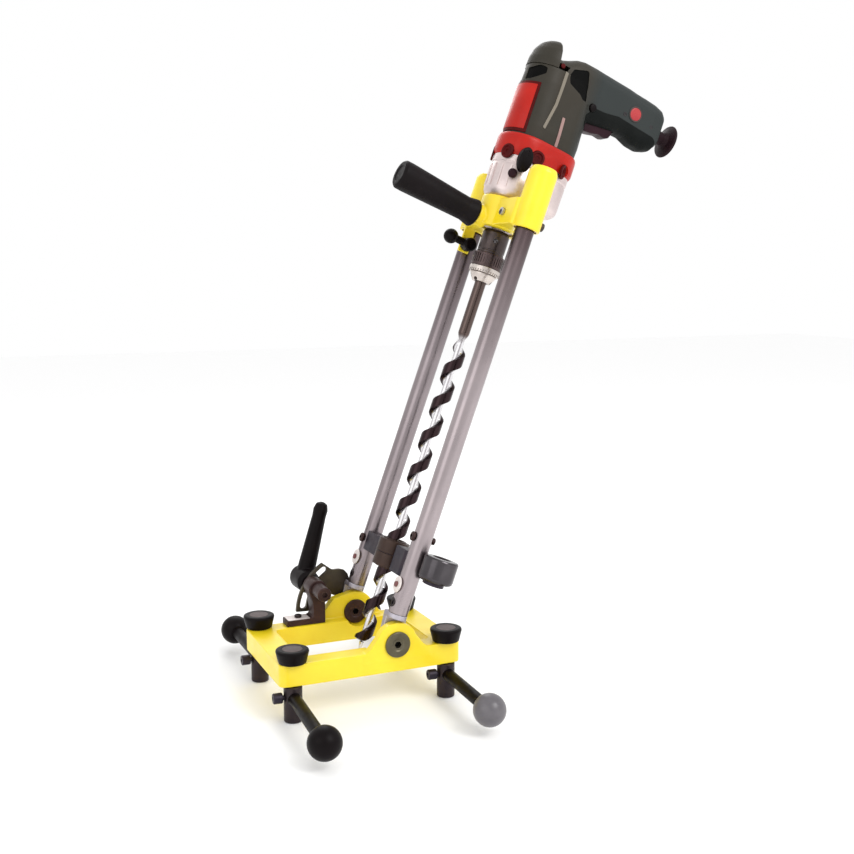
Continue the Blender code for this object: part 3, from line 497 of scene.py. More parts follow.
BROWN_OXIDE = surface("brown_oxide_steel", (0.026, 0.010, 0.010), (0.050, 0.020, 0.016), 0.45, 0.5,
                      mottle=60, grain=1300, bump=0.25, edge=(0.32, 0.24, 0.20), edge_share=0.5)
PLATE_STEEL = surface("olive_plate_steel", (0.095, 0.080, 0.052), (0.060, 0.048, 0.040), 0.42, 0.8,
                      mottle=30, grain=700, stretch=(1, 1, 8), edge=(0.40, 0.38, 0.36))
BLACK_PLASTIC = surface("black_moulded_plastic", (0.0030, 0.0016, 0.0018), (0.0050, 0.0028, 0.0032), 0.42,
                        mottle=28, grain=1600, bump=0.25, depth=0.00012, edge=(0.075, 0.062, 0.064),
                        edge_share=0.5, level=0.1)
GRIP_RUBBER = surface("grip_rubber", (0.0035, 0.0020, 0.0024), (0.0065, 0.0038, 0.0045), 0.55, mottle=18,
                      grain=1900, bump=0.45, depth=0.00018, edge=(0.07, 0.06, 0.062), edge_share=0.5,
                      level=0.12)
HOUSING = surface("drill_housing_plastic", (0.026, 0.0235, 0.0170), (0.034, 0.0275, 0.0195), 0.46,
                  mottle=16, grain=1800, bump=0.38, depth=0.00014, edge=(0.15, 0.14, 0.12), edge_share=0.45,
                  level=0.22, fade=("X", 0.035, 0.060, (0.0215, 0.0265, 0.0260)))
SOFT_RUBBER = surface("soft_overmould", (0.0034, 0.0046, 0.0042), (0.0062, 0.0072, 0.0066), 0.62, mottle=20,
                      bump=0.55, depth=0.0002, level=0.1)
MAROON = surface("trigger_plastic", (0.014, 0.0025, 0.006), (0.024, 0.006, 0.011), 0.42, mottle=30,
                 bump=0.25, edge=(0.08, 0.04, 0.05), edge_share=0.4, level=0.15)
BADGE_RED = surface("badge_red", (0.42, 0.050, 0.052), (0.34, 0.030, 0.036), 0.30, mottle=50, grain=900,
                    bump=0.08, coat=0.05, level=0.2)
RIDGE_HIGHLIGHT = surface("ridge_painted_highlight", (0.20, 0.17, 0.13), (0.15, 0.13, 0.10), 0.35, mottle=30)
BRONZE = surface("turned_bronze", (0.40, 0.21, 0.10), (0.30, 0.15, 0.08), 0.38, 0.9, mottle=50, grain=2400,
                 edge=(0.6, 0.4, 0.22), lathe=True)
BROWN_BUSH = surface("brown_guide_bush", (0.045, 0.020, 0.012), (0.030, 0.014, 0.009), 0.42, 0.4, mottle=60,
                     grain=2000, edge=(0.25, 0.14, 0.08), lathe=True)
COPPER = surface("varnished_copper", (0.45, 0.20, 0.10), (0.30, 0.12, 0.06), 0.40, 0.8, mottle=90,
                 grain=2200, bump=0.4, depth=0.0002)
WASHER_WHITE = surface("zinc_washer", (0.80, 0.74, 0.71), (0.70, 0.62, 0.60), 0.45, 0.15, mottle=80,
                       grain=1800, bump=0.15, edge=(0.55, 0.5, 0.5))
RED_BROWN = surface("red_brown_head", (0.18, 0.060, 0.060), (0.12, 0.040, 0.042), 0.45, 0.2, mottle=90,
                    grain=1800)
BALL_GREY = surface("grey_ball_plastic", (0.13, 0.12, 0.13), (0.090, 0.083, 0.092), 0.34, mottle=26,
                    edge=(0.35, 0.34, 0.35))
CHUCK_DARK = surface("chuck_body_steel", (0.085, 0.066, 0.062), (0.050, 0.038, 0.038), 0.34, 0.85,
                     grain=2600, edge=(0.36, 0.32, 0.30), lathe=True)
CHUCK_RING_STEEL = surface("chuck_ring_steel", (0.66, 0.60, 0.55), (0.50, 0.44, 0.41), 0.32, 0.9,
                           grain=2400, edge=(0.8, 0.78, 0.75), lathe=True)


def auger_finish():
    """Bright web, flights darkened as painted shade and a brown shank, told apart by distance from the axis
    and height.
    """
    mat = surface("auger_steel", (0.78, 0.77, 0.78), (0.62, 0.60, 0.62), 0.24, 1.0, grain=1800, bump=0.25)
    colour = mat.node_tree.nodes["Principled BSDF"].inputs["Base Color"]
    parts, from_axis = object_coords(mat)[1:]
    flight = spread_out(mat, from_axis, BIT_CORE + 0.0008, BIT_CORE + 0.0030)
    # The flights take a near-black colour: painted shade of their faces.
    painted_flight_shade = mixed(mat, flight, colour.links[0].from_socket, (0.035, 0.022, 0.024))
    brown = mixed(mat, spread_out(mat, parts["Z"], 0.390, 0.402), painted_flight_shade, (0.11, 0.080, 0.072))
    mat.node_tree.links.new(brown, colour)
    return mat


AUGER = auger_finish()


# Base
def make_base():
    outer = round_rect(BASE_LOW.x, BASE_HIGH.x, -BASE_HIGH.y + 0.0005, BASE_HIGH.y - 0.0005, 0.010)
    body = solid(prism(outer, 0.0, RAIL_H))
    foot = RAIL_H - 0.004
    for side in (-1, 1):
        if side < 0:
            ear = arc(0, PIVOT.z, EAR_R, 20, 160, 28) + [(-0.036, foot + 0.008), (-0.045, foot + 0.002)]
        else:
            ear = arc(0, PIVOT.z, EAR_R, 20, 112, 22) + [(-0.0310, 0.0560), (-0.0450, 0.0390)]
        ear += [(-0.045, foot - 0.010), (0.045, foot - 0.010), (0.045, foot + 0.002), (0.036, foot + 0.008)]
        add(body, prism(ear, *sorted((side * EAR_IN, side * EAR_OUT)), upright=True))
    window = round_rect(*OPENING_X, -OPENING_Y, OPENING_Y, 0.008)
    carve(body, prism(window, -0.01, RAIL_H + 0.01))
    carve(body, box((-0.032, -EAR_IN, 0.012), (0.032, -0.050, RAIL_H + 0.04)))
    cast(body, 0.0011, 5, 0.35)
    cut(body, rod(0.0180, 0.050, EAR_IN), local((0, 0, PIVOT.z), Y))
    for side in (-1, 1):
        cut(body, rod(PIVOT_R + GAP, -0.03, 0.03), local((0, side * 0.0765, PIVOT.z), Y))
    for spot in KNOB_SPOTS.values():
        here = upright(spot.x, spot.y)
        cut(body, rod(STUD_R + GAP, -0.01, RAIL_H + 0.01), here)
        cut(body, rod(POST_R + 0.0015, -0.01, 0.0005), here)
    cut(body, rod(SCREW_R + GAP, 0.012, RAIL_H + 0.01, 32), upright(*LOCK_SCREW_XY))
    piece("base_casting", body, YELLOW, "yellow_paint", "base", WORLD, ["base_frame"])


def make_pivot_bolt(tag, finish):
    """Large dished head with a hexagon socket towards -Y."""
    low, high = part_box(f"pivot_bolt_{tag}")
    head, thick, length = 0.0165, 0.0030, high.y - low.y
    profile = [(0, 0.0009), (0.0070, 0.0009), (0.0085, 0.0), (head - 0.001, 0), (head, 0.0008),
               (head, thick), (PIVOT_R, thick), (PIVOT_R, length), (0, length)]
    place = local((0, low.y, PIVOT.z), Y)
    bolt = solid(turned(profile, 0.0004, 72))
    carve(bolt, hexagon(0.0048, -0.001, 0.0065))
    # Near-black cup in the hexagon socket: painted shade.
    socket_shade = rod(0.0040, 0.0058, 0.0064, 40, radius=0.0001)
    piece(f"pivot_bolt_{tag}_socket_shade", socket_shade, RECESS_SHADE, "dark_steel", "base", place)
    piece(f"pivot_bolt_{tag}_turned", bolt, finish, "steel", "base", place, [f"pivot_bolt_{tag}"])


def make_corner(tag, spot):
    side = 1 if spot.y > 0 else -1
    here = upright(spot.x, spot.y)
    # Heights above the rail; the stud reaches down into the post.
    stud_end = -0.0045 - RAIL_H
    knob = [(0, stud_end), (STUD_R, stud_end), (STUD_R, 0.0005), (0.0160, 0.0005), (0.0172, 0.0015),
            (0.0205, 0.0150), (0.0200, 0.0172), (0.0175, 0.0182), (0.0130, 0.0180), (0.0112, 0.0170),
            (0, 0.0170)]
    # The cap is a lighter disc on the knob's top: painted reflection.
    cap = [(0, 0.0171), (0.0116, 0.0171), (0.0126, 0.0176), (0.0122, 0.0181), (0.0100, 0.0179), (0, 0.0178)]
    knob, cap = ([(r, RAIL_H + h) for r, h in profile] for profile in (knob, cap))
    piece(f"knob_{tag}_moulded", turned(knob, 0.0012), BLACK_PLASTIC, "black_plastic", f"knob_{tag}", here,
          [f"corner_knob_{tag}"])
    piece(f"knob_{tag}_cap", turned(cap, 0.0003), KNOB_TOP_SHEEN, "black_plastic", f"knob_{tag}", here)

    body = f"fence_{tag}"
    # The middle of the ball on the CAD rod gives the rod's direction and length.
    low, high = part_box(f"fence_rod_{tag}")
    ball_side = abs((low.y if side < 0 else high.y) - spot.y) - 2 * BALL_R
    rod_points = [v.co for v in frame["nodes"][f"fence_rod_{tag}"].data.vertices]
    points = [p for p in rod_points if abs(p.y - spot.y) > ball_side]
    middle = Vector([(min(p[i] for p in points) + max(p[i] for p in points)) / 2 for i in range(3)])
    out = Vector((middle.x - spot.x, middle.y - spot.y, 0))
    reach, out = out.length, out.normalized()
    along = local((spot.x, spot.y, ROD_Z), out)
    across = local((spot.x, spot.y, ROD_Z), Vector((-abs(out.y), out.x * (1 if out.y > 0 else -1), 0)))
    post = solid(rod(POST_R, POST_BOTTOM, -0.0005, radius=0.0014))
    carve(post, rod(STUD_R + GAP, -0.0049, 0.010))
    carve(post, rod(ROD_R + GAP, -0.0070, 0.030), here.inverted() @ along)
    carve(post, rod(SCREW_R + GAP, 0.0, 0.030, 32), here.inverted() @ across)
    piece(f"post_{tag}_turned", post, BLACK_OXIDE, "dark_steel", body, here, [f"fence_post_{tag}"])

    shaft = rod(ROD_R, -0.0067, reach - BALL_R * 0.88, radius=0.0006)
    piece(f"rod_{tag}_turned", shaft, BLACK_PLASTIC, "black_plastic", body, along, [f"fence_rod_{tag}"])
    sphere = ball_end(BALL_R, reach, -62, 26)
    sphere.insert(0, (0, sphere[0][1]))
    piece(f"ball_{tag}", turned(sphere, 0.0), BALL_GREY if tag == "front_right" else BLACK_PLASTIC,
          "black_plastic", body, along)
    screw = [(0, ROD_R + GAP), (SCREW_R, ROD_R + GAP), (SCREW_R, POST_R + 0.002),
             (0.0060, POST_R + 0.002), (0.0066, POST_R + 0.003), (0.0066, POST_R + 0.0125),
             (0.0058, POST_R + 0.0135), (0, POST_R + 0.0135)]
    turned_screw = solid(turned(screw, 0.0004, 48))
    carve(turned_screw, hexagon(0.0030, POST_R + 0.0075, POST_R + 0.02))
    piece(f"side_screw_{tag}", turned_screw, GUIDE_IRON, "dark_steel", body, across, [f"post_screw_{tag}"])


def make_tilt_lock():
    low = RAIL_H + GAP
    x, z = CLAMP.x, CLAMP.z
    outline = [(-0.0470, low), (-0.0470, 0.060)] + arc(x, z, 0.0125, -10, 190, 28)
    outline += [(-0.0640, 0.058), (-0.0632, 0.044), (-0.0634, 0.0395), (-0.0650, 0.0373), (-0.0672, 0.0365),
                (-0.0985, 0.0365), (-0.100, 0.035), (-0.100, low)]
    along = local((x, 0, z), Y)
    bracket = solid(slab(outline, 0.058, 0.0820, 0.0010, upright=True))
    add(bracket, rod(0.0115, 0.070, 0.0877, radius=0.0006), along)
    carve(bracket, rod(CLAMP_BOLT_R + GAP, 0.03, 0.12, 40), along)
    piece("lock_bracket_bent", bracket, BROWN_OXIDE, "dark_steel", "base", WORLD, ["lock_bracket"])
    foot = round_rect(-0.0985, -0.0680, 0.0590, 0.0810, 0.0015)
    piece("lock_bracket_foot_face", slab(foot, 0.0364, 0.0368, 0.0002), WASHER_WHITE, "aluminium", "base")
    socket_screw("lock_bracket_screw", local((*LOCK_SCREW_XY, 0.0372)), 0.0048, 0.0032, BLACK_OXIDE, "base")

    bolt = [(0, 0.0300), (0.0085, 0.0300), (0.0095, 0.0312), (0.0095, 0.0577), (CLAMP_BOLT_R, 0.0577),
            (CLAMP_BOLT_R, 0.1200), (0, 0.1200)]
    clamp = solid(turned(bolt, 0.0008, 56))
    carve(clamp, hexagon(0.0042, 0.0280, 0.0340))
    piece("tilt_clamp_bolt_turned", clamp, BROWN_OXIDE, "dark_steel", "base", along, ["tilt_clamp_bolt"])

    hub = [(0, 0.0933), (0.0118, 0.0933), (0.0158, 0.0990), (0.0170, 0.1310), (0.0150, 0.1372), (0, 0.1372)]
    lever = solid(turned(hub, 0.0012))
    reach, lean = 0.107, radians(15)
    arm = [(0, 0), (0.0124, 0), (0.0124, 0.020), (0.0096, reach - 0.018), (0.0102, reach - 0.008),
           (0.0078, reach), (0.0030, reach + 0.0025), (0, reach + 0.003)]
    add(lever, turned(arm, 0.0025), local((0, 0, 0.120), (sin(lean), -cos(lean), 0)))
    cast(lever, 0.0008, 5, 0.5)
    cut(lever, rod(CLAMP_BOLT_R + GAP, 0.05, 0.1215, 40))
    piece("tilt_lever_moulded", lever, BLACK_PLASTIC, "black_plastic", "tilt_lever", along,
          ["tilt_clamp_lever"])


# Mast
def make_leg(tag, side):
    low, high = LEG_Y[side]
    outline = arc(0, 0, 0.0150, 200, 340, 24)
    outline += [(0.0155, 0.010), (0.0060, 0.0345), (-0.0215, 0.0345), (-0.0190, 0.010)]
    leg = solid(slab(outline, low, high, radius=0.0008, upright=True))
    plate = arc(AXIS_W, side * COL_Y, COL_R, 180, 360, 24)
    edge = high - 0.0005 if side > 0 else low + 0.0085
    plate += [(AXIS_W + COL_R, edge), (AXIS_W - COL_R, edge)]
    add(leg, prism(plate, 0.0300, COL_LOW.z - GAP))
    cast(leg, 0.0006, 3, 0.5)
    cut(leg, rod(COL_BORE - GAP, 0.033, 0.090, radius=0.0008), upright(AXIS_W, side * COL_Y), "UNION")
    cut(leg, rod(PIVOT_R + GAP, -0.1, 0.1), local((0, 0, 0), Y))
    cut(leg, rod(SCREW_R + GAP, 0.0, 0.03, 32), local((AXIS_W - 0.002, side * COL_Y, SPIGOT_SCREW_U), -X))
    piece(f"mast_leg_{tag}_cast", leg, LEG_ALLOY, "aluminium", "mast", MAST, [f"mast_leg_{tag}"])


def make_column(tag, side):
    place = at((AXIS_W, side * COL_Y, 0))
    bolt_u = GUIDE_BOLT_U[side]
    column = solid(tube(COL_R, COL_BORE, COL_LOW.z, COL_HIGH.z, 0.0006))
    back = place.inverted()
    for u, r in ((SPIGOT_SCREW_U, SCREW_R + GAP), (SET_SCREW_U, SET_SCREW_R)):
        carve(column, rod(r, 0.0, 0.03, 32), back @ at((AXIS_W, side * COL_Y, u), -X))
    carve(column, rod(0.0028, -0.03, 0.03, 32), back @ at((AXIS_W, side * COL_Y, bolt_u), X))
    finish = COLUMN_STEEL if side < 0 else SHADED_REAR_COLUMN_STEEL
    piece(f"column_{tag}_ground", column, finish, "steel", "mast", place, [f"column_{tag}"])

    # Screw with a pale washer, set screw below it, and the guide's through bolt.
    out = COL_R + 0.0003
    here = at((AXIS_W, side * COL_Y, SPIGOT_SCREW_U), -X)
    head = [(0, 0.0030), (SCREW_R, 0.0030), (SCREW_R, out + 0.0016), (0.0037, out + 0.0018),
            (0.0034, out + 0.0040), (0, out + 0.0044)]
    piece(f"column_screw_{tag}_turned", turned(head, 0.0004, 40), RED_BROWN, "steel", "mast", here,
          [f"column_screw_{tag}"])
    ring = [(SCREW_R + 0.0002, out), (0.0100, out), (0.0105, out + 0.0006), (0.0102, out + 0.0014),
            (0.0060, out + 0.0016), (SCREW_R + 0.0002, out + 0.0016)]
    piece(f"column_washer_{tag}", turned(ring, 0.0004, 48), WASHER_WHITE, "steel", "mast", here)
    set_screw = at((AXIS_W, side * COL_Y, SET_SCREW_U), -X) @ Matrix.Translation((0, 0, 0.0098))
    socket_screw(f"column_set_screw_{tag}", set_screw, 0.0060, 0.0022, BLACK_OXIDE, "mast")

    here = at((AXIS_W, side * COL_Y, bolt_u), -X)
    nut = [(0, -out - 0.0045), (0.0045, -out - 0.0040), (0.0045, -out), (0.0025, -out), (0.0025, out),
           (0.0060, out), (0.0060, out + 0.0026), (0.0040, out + 0.0036), (0, out + 0.0036)]
    bolt = solid(turned(nut, 0.0005, 40))
    carve(bolt, hexagon(0.0026, out + 0.0012, out + 0.01))
    piece(f"guide_bolt_{tag}_turned", bolt, BROWN_OXIDE, "dark_steel", "mast", here, [f"guide_bolt_{tag}"])


def make_sector():
    inner, outer, half_slot = CLAMP_R - 0.0090, CLAMP_R + 0.0090, 0.0045
    # Polar angle of the clamp bolt with the mast upright.
    bolt_low = degrees(atan2(CLAMP.z - PIVOT.z, CLAMP.x))
    bolt_high = bolt_low + 45
    outline = arc(0, 0, outer, bolt_low - 4, bolt_high + 8, 40) + arc(0, 0, inner, bolt_high + 8, 166, 24)
    outline += [(-0.0420, 0.0120), (-0.0250, 0.0100), (-0.0130, 0.0130), (-0.0130, 0.0340), (-0.0200, 0.0440),
                (-0.0270, 0.0480), (-0.0344, 0.0475), (-0.0440, 0.0440)]
    sector = solid(slab(soften(outline, 0.004, closed=True), 0.0880, 0.0930, 0.0006, upright=True))
    start, end = bolt_low - 1, bolt_high + 1
    slot = arc(0, 0, CLAMP_R + half_slot, start, end, 36) + arc(0, 0, CLAMP_R - half_slot, end, start, 36)
    cut(sector, prism(slot, 0.080, 0.100, upright=True))
    for angle in (start, end):
        round_end = Matrix.Translation((CLAMP_R * cos(radians(angle)), 0, CLAMP_R * sin(radians(angle))))
        cut(sector, rod(half_slot, 0.080, 0.100, 40), round_end @ local((0, 0, 0), Y))
    for k in range(10):
        # Plain degree marks on the outer band, one every 5 degrees.
        a = radians(bolt_low + 5 * k)
        mark = box((-0.0012, -0.0010, -0.0003), (0.0012 + 0.0008 * (k % 2 == 0), 0.0010, 0.0003))
        turn = Matrix.Rotation(-a, 4, "Y")
        spot = ((outer - 0.003) * cos(a), 0.0930, (outer - 0.003) * sin(a))
        cut(sector, mark, Matrix.Translation(spot) @ turn)
    piece("tilt_sector_plate", sector, PLATE_STEEL, "steel", "mast", MAST, ["tilt_sector"])


def make_guide():
    low, high = GUIDE_LOW, GUIDE_TOP
    centre = upright(AXIS_W)
    guide = solid(rod(0.0190, low + 0.0040, high - 0.0040))
    guide.data.transform(centre)
    front = round_rect(AXIS_W - 0.0125, AXIS_W + 0.0140, -0.0700, -0.0300, 0.0075)
    neck = round_rect(AXIS_W - 0.0050, AXIS_W + 0.0110, -0.0400, -0.0120, 0.003)
    add(guide, prism(neck, low + 0.005, high - 0.005))
    add(guide, prism(front, low + 0.001, high - 0.001))
    rear = round_rect(AXIS_W - 0.0110, AXIS_W + 0.0110, 0.0120, 0.0700, 0.004)
    add(guide, prism(rear, low + 0.006, high - 0.004))
    ear = arc(*STUD_AT, 0.0130, -190, 20, 28)
    ear += [(0.0230, -0.0750), (0.0190, -0.0560), (0.0020, -0.0480), (-0.0040, -0.0480), (-0.0040, -0.0600),
            (0.0060, -0.0640), (0.0080, -0.0750), (0.0060, -0.0860), (-0.0010, -0.0950)]
    add(guide, prism(ear, low + 0.0055, low + 0.0105))
    for side in (-1, 1):
        carve(guide, rod(COL_R, 0.0, 0.2), upright(AXIS_W, side * COL_Y))
    cast(guide, 0.0008, 4, 0.5)
    for side in (-1, 1):
        cut(guide, rod(COL_R + GAP, 0.0, 0.2), upright(AXIS_W, side * COL_Y))
    cut(guide, rod(0.0165, 0.0, 0.2), centre)
    for end in ((0.0, low + 0.0042), (high - 0.0042, 0.2)):
        cut(guide, rod(0.0208, *end), centre)
    stud = upright(*STUD_AT)
    cut(guide, rod(0.0045, low + 0.008, 0.1120, 40, radius=0.0004), stud, "UNION")
    piece("guide_bracket_cast", guide, GUIDE_IRON, "dark_steel", "mast", MAST, ["guide_bracket"])
    # Brown hub in two halves round the casting's eye, which holds the guide bush.
    for tag, u0, u1 in (("low", low, (low + high) / 2 - GAP), ("top", (low + high) / 2 + GAP, high)):
        hub = solid(tube(0.0204, 0.0158, u0, u1, 0.0010))
        hub.data.transform(centre)
        near = round_rect(AXIS_W - 0.0055, AXIS_W + 0.0115, -0.0400, -0.0120, 0.003)
        carve(hub, prism(near, low + 0.0045, high - 0.0045))
        far = round_rect(AXIS_W - 0.0115, AXIS_W + 0.0115, 0.0120, 0.0400, 0.003)
        carve(hub, prism(far, low + 0.0055, high - 0.0035))
        carve(hub, tube(0.0192, 0.0100, low + 0.0038, high - 0.0038, 0.0002), centre)
        piece(f"guide_hub_{tag}", hub, BROWN_BUSH, "bronze", "mast", MAST)
    piece("guide_bush_turned", tube(0.0155, BIT_R + 0.0006, low - 0.0015, high + 0.0015, 0.0006), BROWN_BUSH,
          "bronze", "mast", at((AXIS_W, 0, 0)), ["guide_bush"])

    base = low + 0.0108
    nut = [(0.0048, base), (0.0195, base), (0.0215, base + 0.0020), (0.0222, base + 0.0050),
           (0.0222, base + 0.0280), (0.0210, base + 0.0300), (0.0118, base + 0.0305), (0.0110, base + 0.0225),
           (0.0048, base + 0.0215)]
    place = at((*STUD_AT, 0))
    piece("guide_nut_turned", turned(nut, 0.0012, 80), NUT_STEEL, "aluminium", "guide_nut", place,
          ["guide_lock_nut"])
    # Thin near-black cup in the nut's counterbore: painted shade of the socket.
    cup = [(0.0050, base + 0.0218), (0.0108, base + 0.0226), (0.0116, base + 0.0303), (0.0112, base + 0.0304),
           (0.0103, base + 0.0231), (0.0050, base + 0.0223)]
    piece("guide_nut_socket_shade", turned(cup, 0.0001), BLACK_OXIDE, "dark_steel", "guide_nut", place)


# Carriage
def make_carriage():
    low, top = SLEEVE_LOW, SLEEVE_TOP
    axis = upright(AXIS_W)
    body = solid(rod(COLLAR_R, low, COLLAR_TOP))
    body.data.transform(axis)
    bridge = round_rect(AXIS_W - 0.0220, AXIS_W + 0.0130, -COL_Y, COL_Y, 0.006)
    add(body, prism(bridge, low + 0.0012, COLLAR_TOP - 0.004))
    boss = local((AXIS_W, 0, BOSS_U), (-1, 0, GRIP_LEAN))
    add(body, rod(0.0145, 0.0245, 0.0385), boss)
    lever_w, lever_y = LEVER_AT[:2]
    add(body, box((lever_w - 0.0078, lever_y - 0.0030, 0.5120),
                  (lever_w + 0.0078, lever_y + 0.0020, low + 0.012)))
    for side in (-1, 1):
        sleeve = [(0, low), (SLEEVE_R - 0.001, low), (SLEEVE_R, low + 0.001), (SLEEVE_R, top - 0.006),
                  (SLEEVE_R - 0.0025, top), (0, top)]
        add(body, turned(sleeve, 0, 56), upright(AXIS_W, side * COL_Y))
    cast(body, 0.0010, 5, 0.4)
    cut(body, rod(NECK_R + GAP, low - 0.05, COLLAR_TOP + 0.05), axis)
    for side in (-1, 1):
        cut(body, rod(BUSH_R + GAP, low - 0.05, top + 0.05), upright(AXIS_W, side * COL_Y))
    cut(body, rod(SCREW_R + GAP, -0.01, 0.01, 32), local(LEVER_AT, Y))
    cut(body, rod(SCREW_R + GAP, 0.010, 0.06, 32), local(COLLAR_SCREW_AT, -X))
    cut(body, rod(0.0043, 0.026, 0.06, 40), boss)
    piece("carriage_cast", body, YELLOW, "yellow_paint", "carriage", MAST, ["carriage_casting"])

    for tag, side in SIDES:
        bush = tube(BUSH_R, COL_R + GAP, low + 0.001, top - 0.001, 0.0005)
        piece(f"carriage_bush_{tag}_turned", bush, BRONZE, "bronze", "carriage",
              at((AXIS_W, side * COL_Y, 0)), [f"carriage_bush_{tag}"])
    here = at((AXIS_W, 0, BOSS_U), (-1, 0, GRIP_LEAN))
    grip = [(0, 0.0275), (0.004, 0.0275), (0.004, 0.0393), (0.0165, 0.0393), (0.0185, 0.0420),
            (0.0172, 0.0490), (0.0158, 0.0560), (0.0190, 0.1440), (0.0188, 0.1535), (0.0160, 0.1565),
            (0.0110, 0.1565), (0.0100, 0.1555), (0, 0.1555)]
    piece("carriage_grip_moulded", turned(grip, 0.0020, 72), GRIP_RUBBER, "black_plastic", "carriage", here,
          ["carriage_grip"])

    hub = [(0, 0.0033), (0.0080, 0.0033), (0.0092, 0.0050), (0.0092, 0.0190), (0.0075, 0.0210), (0, 0.0210)]
    lever = solid(turned(hub, 0.0012))
    arm = [(0, 0), (0.0055, 0), (0.0050, 0.0205)] + ball_end(0.0100, 0.029, -60, 20)
    place = at(LEVER_AT, -Y)
    arm_base = Vector(LEVER_AT) + Vector((0, -0.0130, 0))
    add(lever, turned(arm, 0.0), place.inverted() @ at(arm_base, (-1, 0, 0.05)))
    cast(lever, 0.0006, 4, 0.5)
    cut(lever, rod(SCREW_R, -0.0050, 0.006, 32, radius=0.0003), WORLD, "UNION")
    piece("carriage_lever_moulded", lever, BLACK_PLASTIC, "black_plastic", "carriage_lever", place,
          ["carriage_clamp_lever"])

    head = solid(turned([(0, 0.0120), (SCREW_R, 0.0120), (SCREW_R, 0.0223), (0.0050, 0.0223),
                         (0.0050, 0.0262), (0, 0.0262)], 0.0004, 40))
    carve(head, hexagon(0.0026, 0.0240, 0.03))
    piece("collar_screw_turned", head, STEEL, "steel", "carriage", at(COLLAR_SCREW_AT, -X), ["collar_screw"])
    socket_screw("sleeve_screw_front", at((AXIS_W + SLEEVE_R - 0.0006, -COL_Y, 0.5560), X), 0.0055, 0.0050,
                 PLATE_STEEL, "carriage")


# Drill
BOWL_R = 0.0352
CONTROL_PIN_HOLE = (0.0028, -0.0100, 0.0010, 32)     # radius, ends and sides


def make_gearbox():
    axis = upright(AXIS_W)
    body = solid(egg_loft([(COLLAR_TOP + GAP, 0.0290, 0.0250), (0.5868, 0.0312, 0.0272),
                           (0.5895, 0.0338, 0.0298), (0.5930, 0.0352, 0.0312), (0.5975, 0.0356, 0.0316),
                           (0.6270, 0.0358, 0.0322), (0.6285, 0.0350, 0.0315), (0.6300, 0.0350, 0.0315),
                           (0.6315, 0.0360, 0.0325), (0.6400, 0.0360, 0.0325)]))
    add(body, rod(NECK_R, 0.548, 0.595, radius=0.0008), axis)
    add(body, rod(0.0055, -0.0095, -0.0005, 40, radius=0.0004), local(SELECTOR_AT, -Y))
    for angle in range(150, 331, 20):
        # Slim ribs run down the bowl on its near side; the far side repeats them.
        a = radians(angle)
        for mirror in (1, -1):
            spot = Vector((AXIS_W + BOWL_R * cos(a), mirror * abs(BOWL_R * sin(a)), 0))
            turn = Matrix.Rotation(atan2(spot.y, spot.x - AXIS_W), 4, "Z")
            rib = box((-0.0012, -0.0009, 0.5975), (0.0014, 0.0009, 0.6265))
            add(body, rib, Matrix.Translation(spot) @ turn)
    carve(body, egg_loft([(0.5980, 0.0320, 0.0285), (0.6500, 0.0325, 0.0290)]))
    carve(body, rod(0.0093, 0.50, 0.65), axis)
    carve(body, rod(0.0133, 0.5745, 0.65), axis)
    for place in (local(SELECTOR_AT, -Y), local(BUTTON_AT, BUTTON_AXIS)):
        carve(body, rod(*CONTROL_PIN_HOLE), place)
    piece("gearbox_cast", body, CAST_ALLOY, "aluminium", "carriage", MAST, ["gearbox_housing"])


FLANGE_R = (0.0385, 0.0350)  # round the spindle, and round the other end of the egg
WELLS = ((-0.0418, 0.6425), (0.0008, 0.6450), (0.0376, 0.6440))      # (w, height) of the screw lugs
WELL_R = 0.0098


def egg_point(w, side, r0, r1):
    """Point on the egg outline nearest to w, on the near (-1) or far (1) side."""
    spots = [Vector(p) for p in egg(r0, r1, 60) if p[1] * side > 0]
    return min(spots, key=lambda p: abs(p.x - w))


def make_flange():
    flange = solid(egg_loft([(FLANGE_LOW, 0.0358, 0.0323), (0.6412, 0.0366, 0.0331),
                             (0.6440, 0.0380, 0.0345), (0.6460, *FLANGE_R), (0.6635, *FLANGE_R),
                             (0.6665, 0.0380, 0.0345), (0.6682, 0.0372, 0.0337),
                             (FLANGE_TOP, 0.0364, 0.0329)]))
    carve(flange, egg_loft([(0.6520, 0.0310, 0.0275), (0.7000, 0.0310, 0.0275)]))
    carve(flange, rod(0.0055, 0.60, 0.70, 40), upright(AXIS_W))
    carve(flange, rod(0.0043, 0.60, 0.6480, 40), upright(LAY_W))
    # Lugs let into the flange's side, each with a dished screw, in darker red as painted shade of the screw
    # wells.
    middle = Vector((AXIS_W + 0.012, 0))
    for k, (w, u) in enumerate(WELLS):
        for side, tag in ((-1, "near"), (1, "far")):
            spot = egg_point(w, side, *FLANGE_R)
            out = spot - middle
            along = local((spot.x, spot.y, u), (out.x, out.y, 0))
            carve(flange, rod(WELL_R, -0.0019, 0.0200, 48), along)
            profile = [(0, -0.0018), (WELL_R - 0.0002, -0.0018), (WELL_R - 0.0002, 0.0002),
                       (WELL_R - 0.0012, 0.0011), (0.0066, 0.0011), (0.0060, -0.0004), (0, -0.0004)]
            lug = solid(turned(profile, 0.0004, 48))
            carve(lug, hexagon(0.0030, -0.0012, 0.0010))
            piece(f"flange_lug_{tag}_{k}", lug, SHADED_RED, "red_paint", "carriage", MAST @ along)
    piece("gearbox_flange_painted", flange, RED, "red_paint", "carriage", MAST, ["gearbox_flange"])


def handle_ring(w, low, high, half, steps=7):
    r = min(half, (high - low) / 2) * 0.75
    return [(w, a, b) for a, b in round_rect(-half, half, low, high, r, steps)]


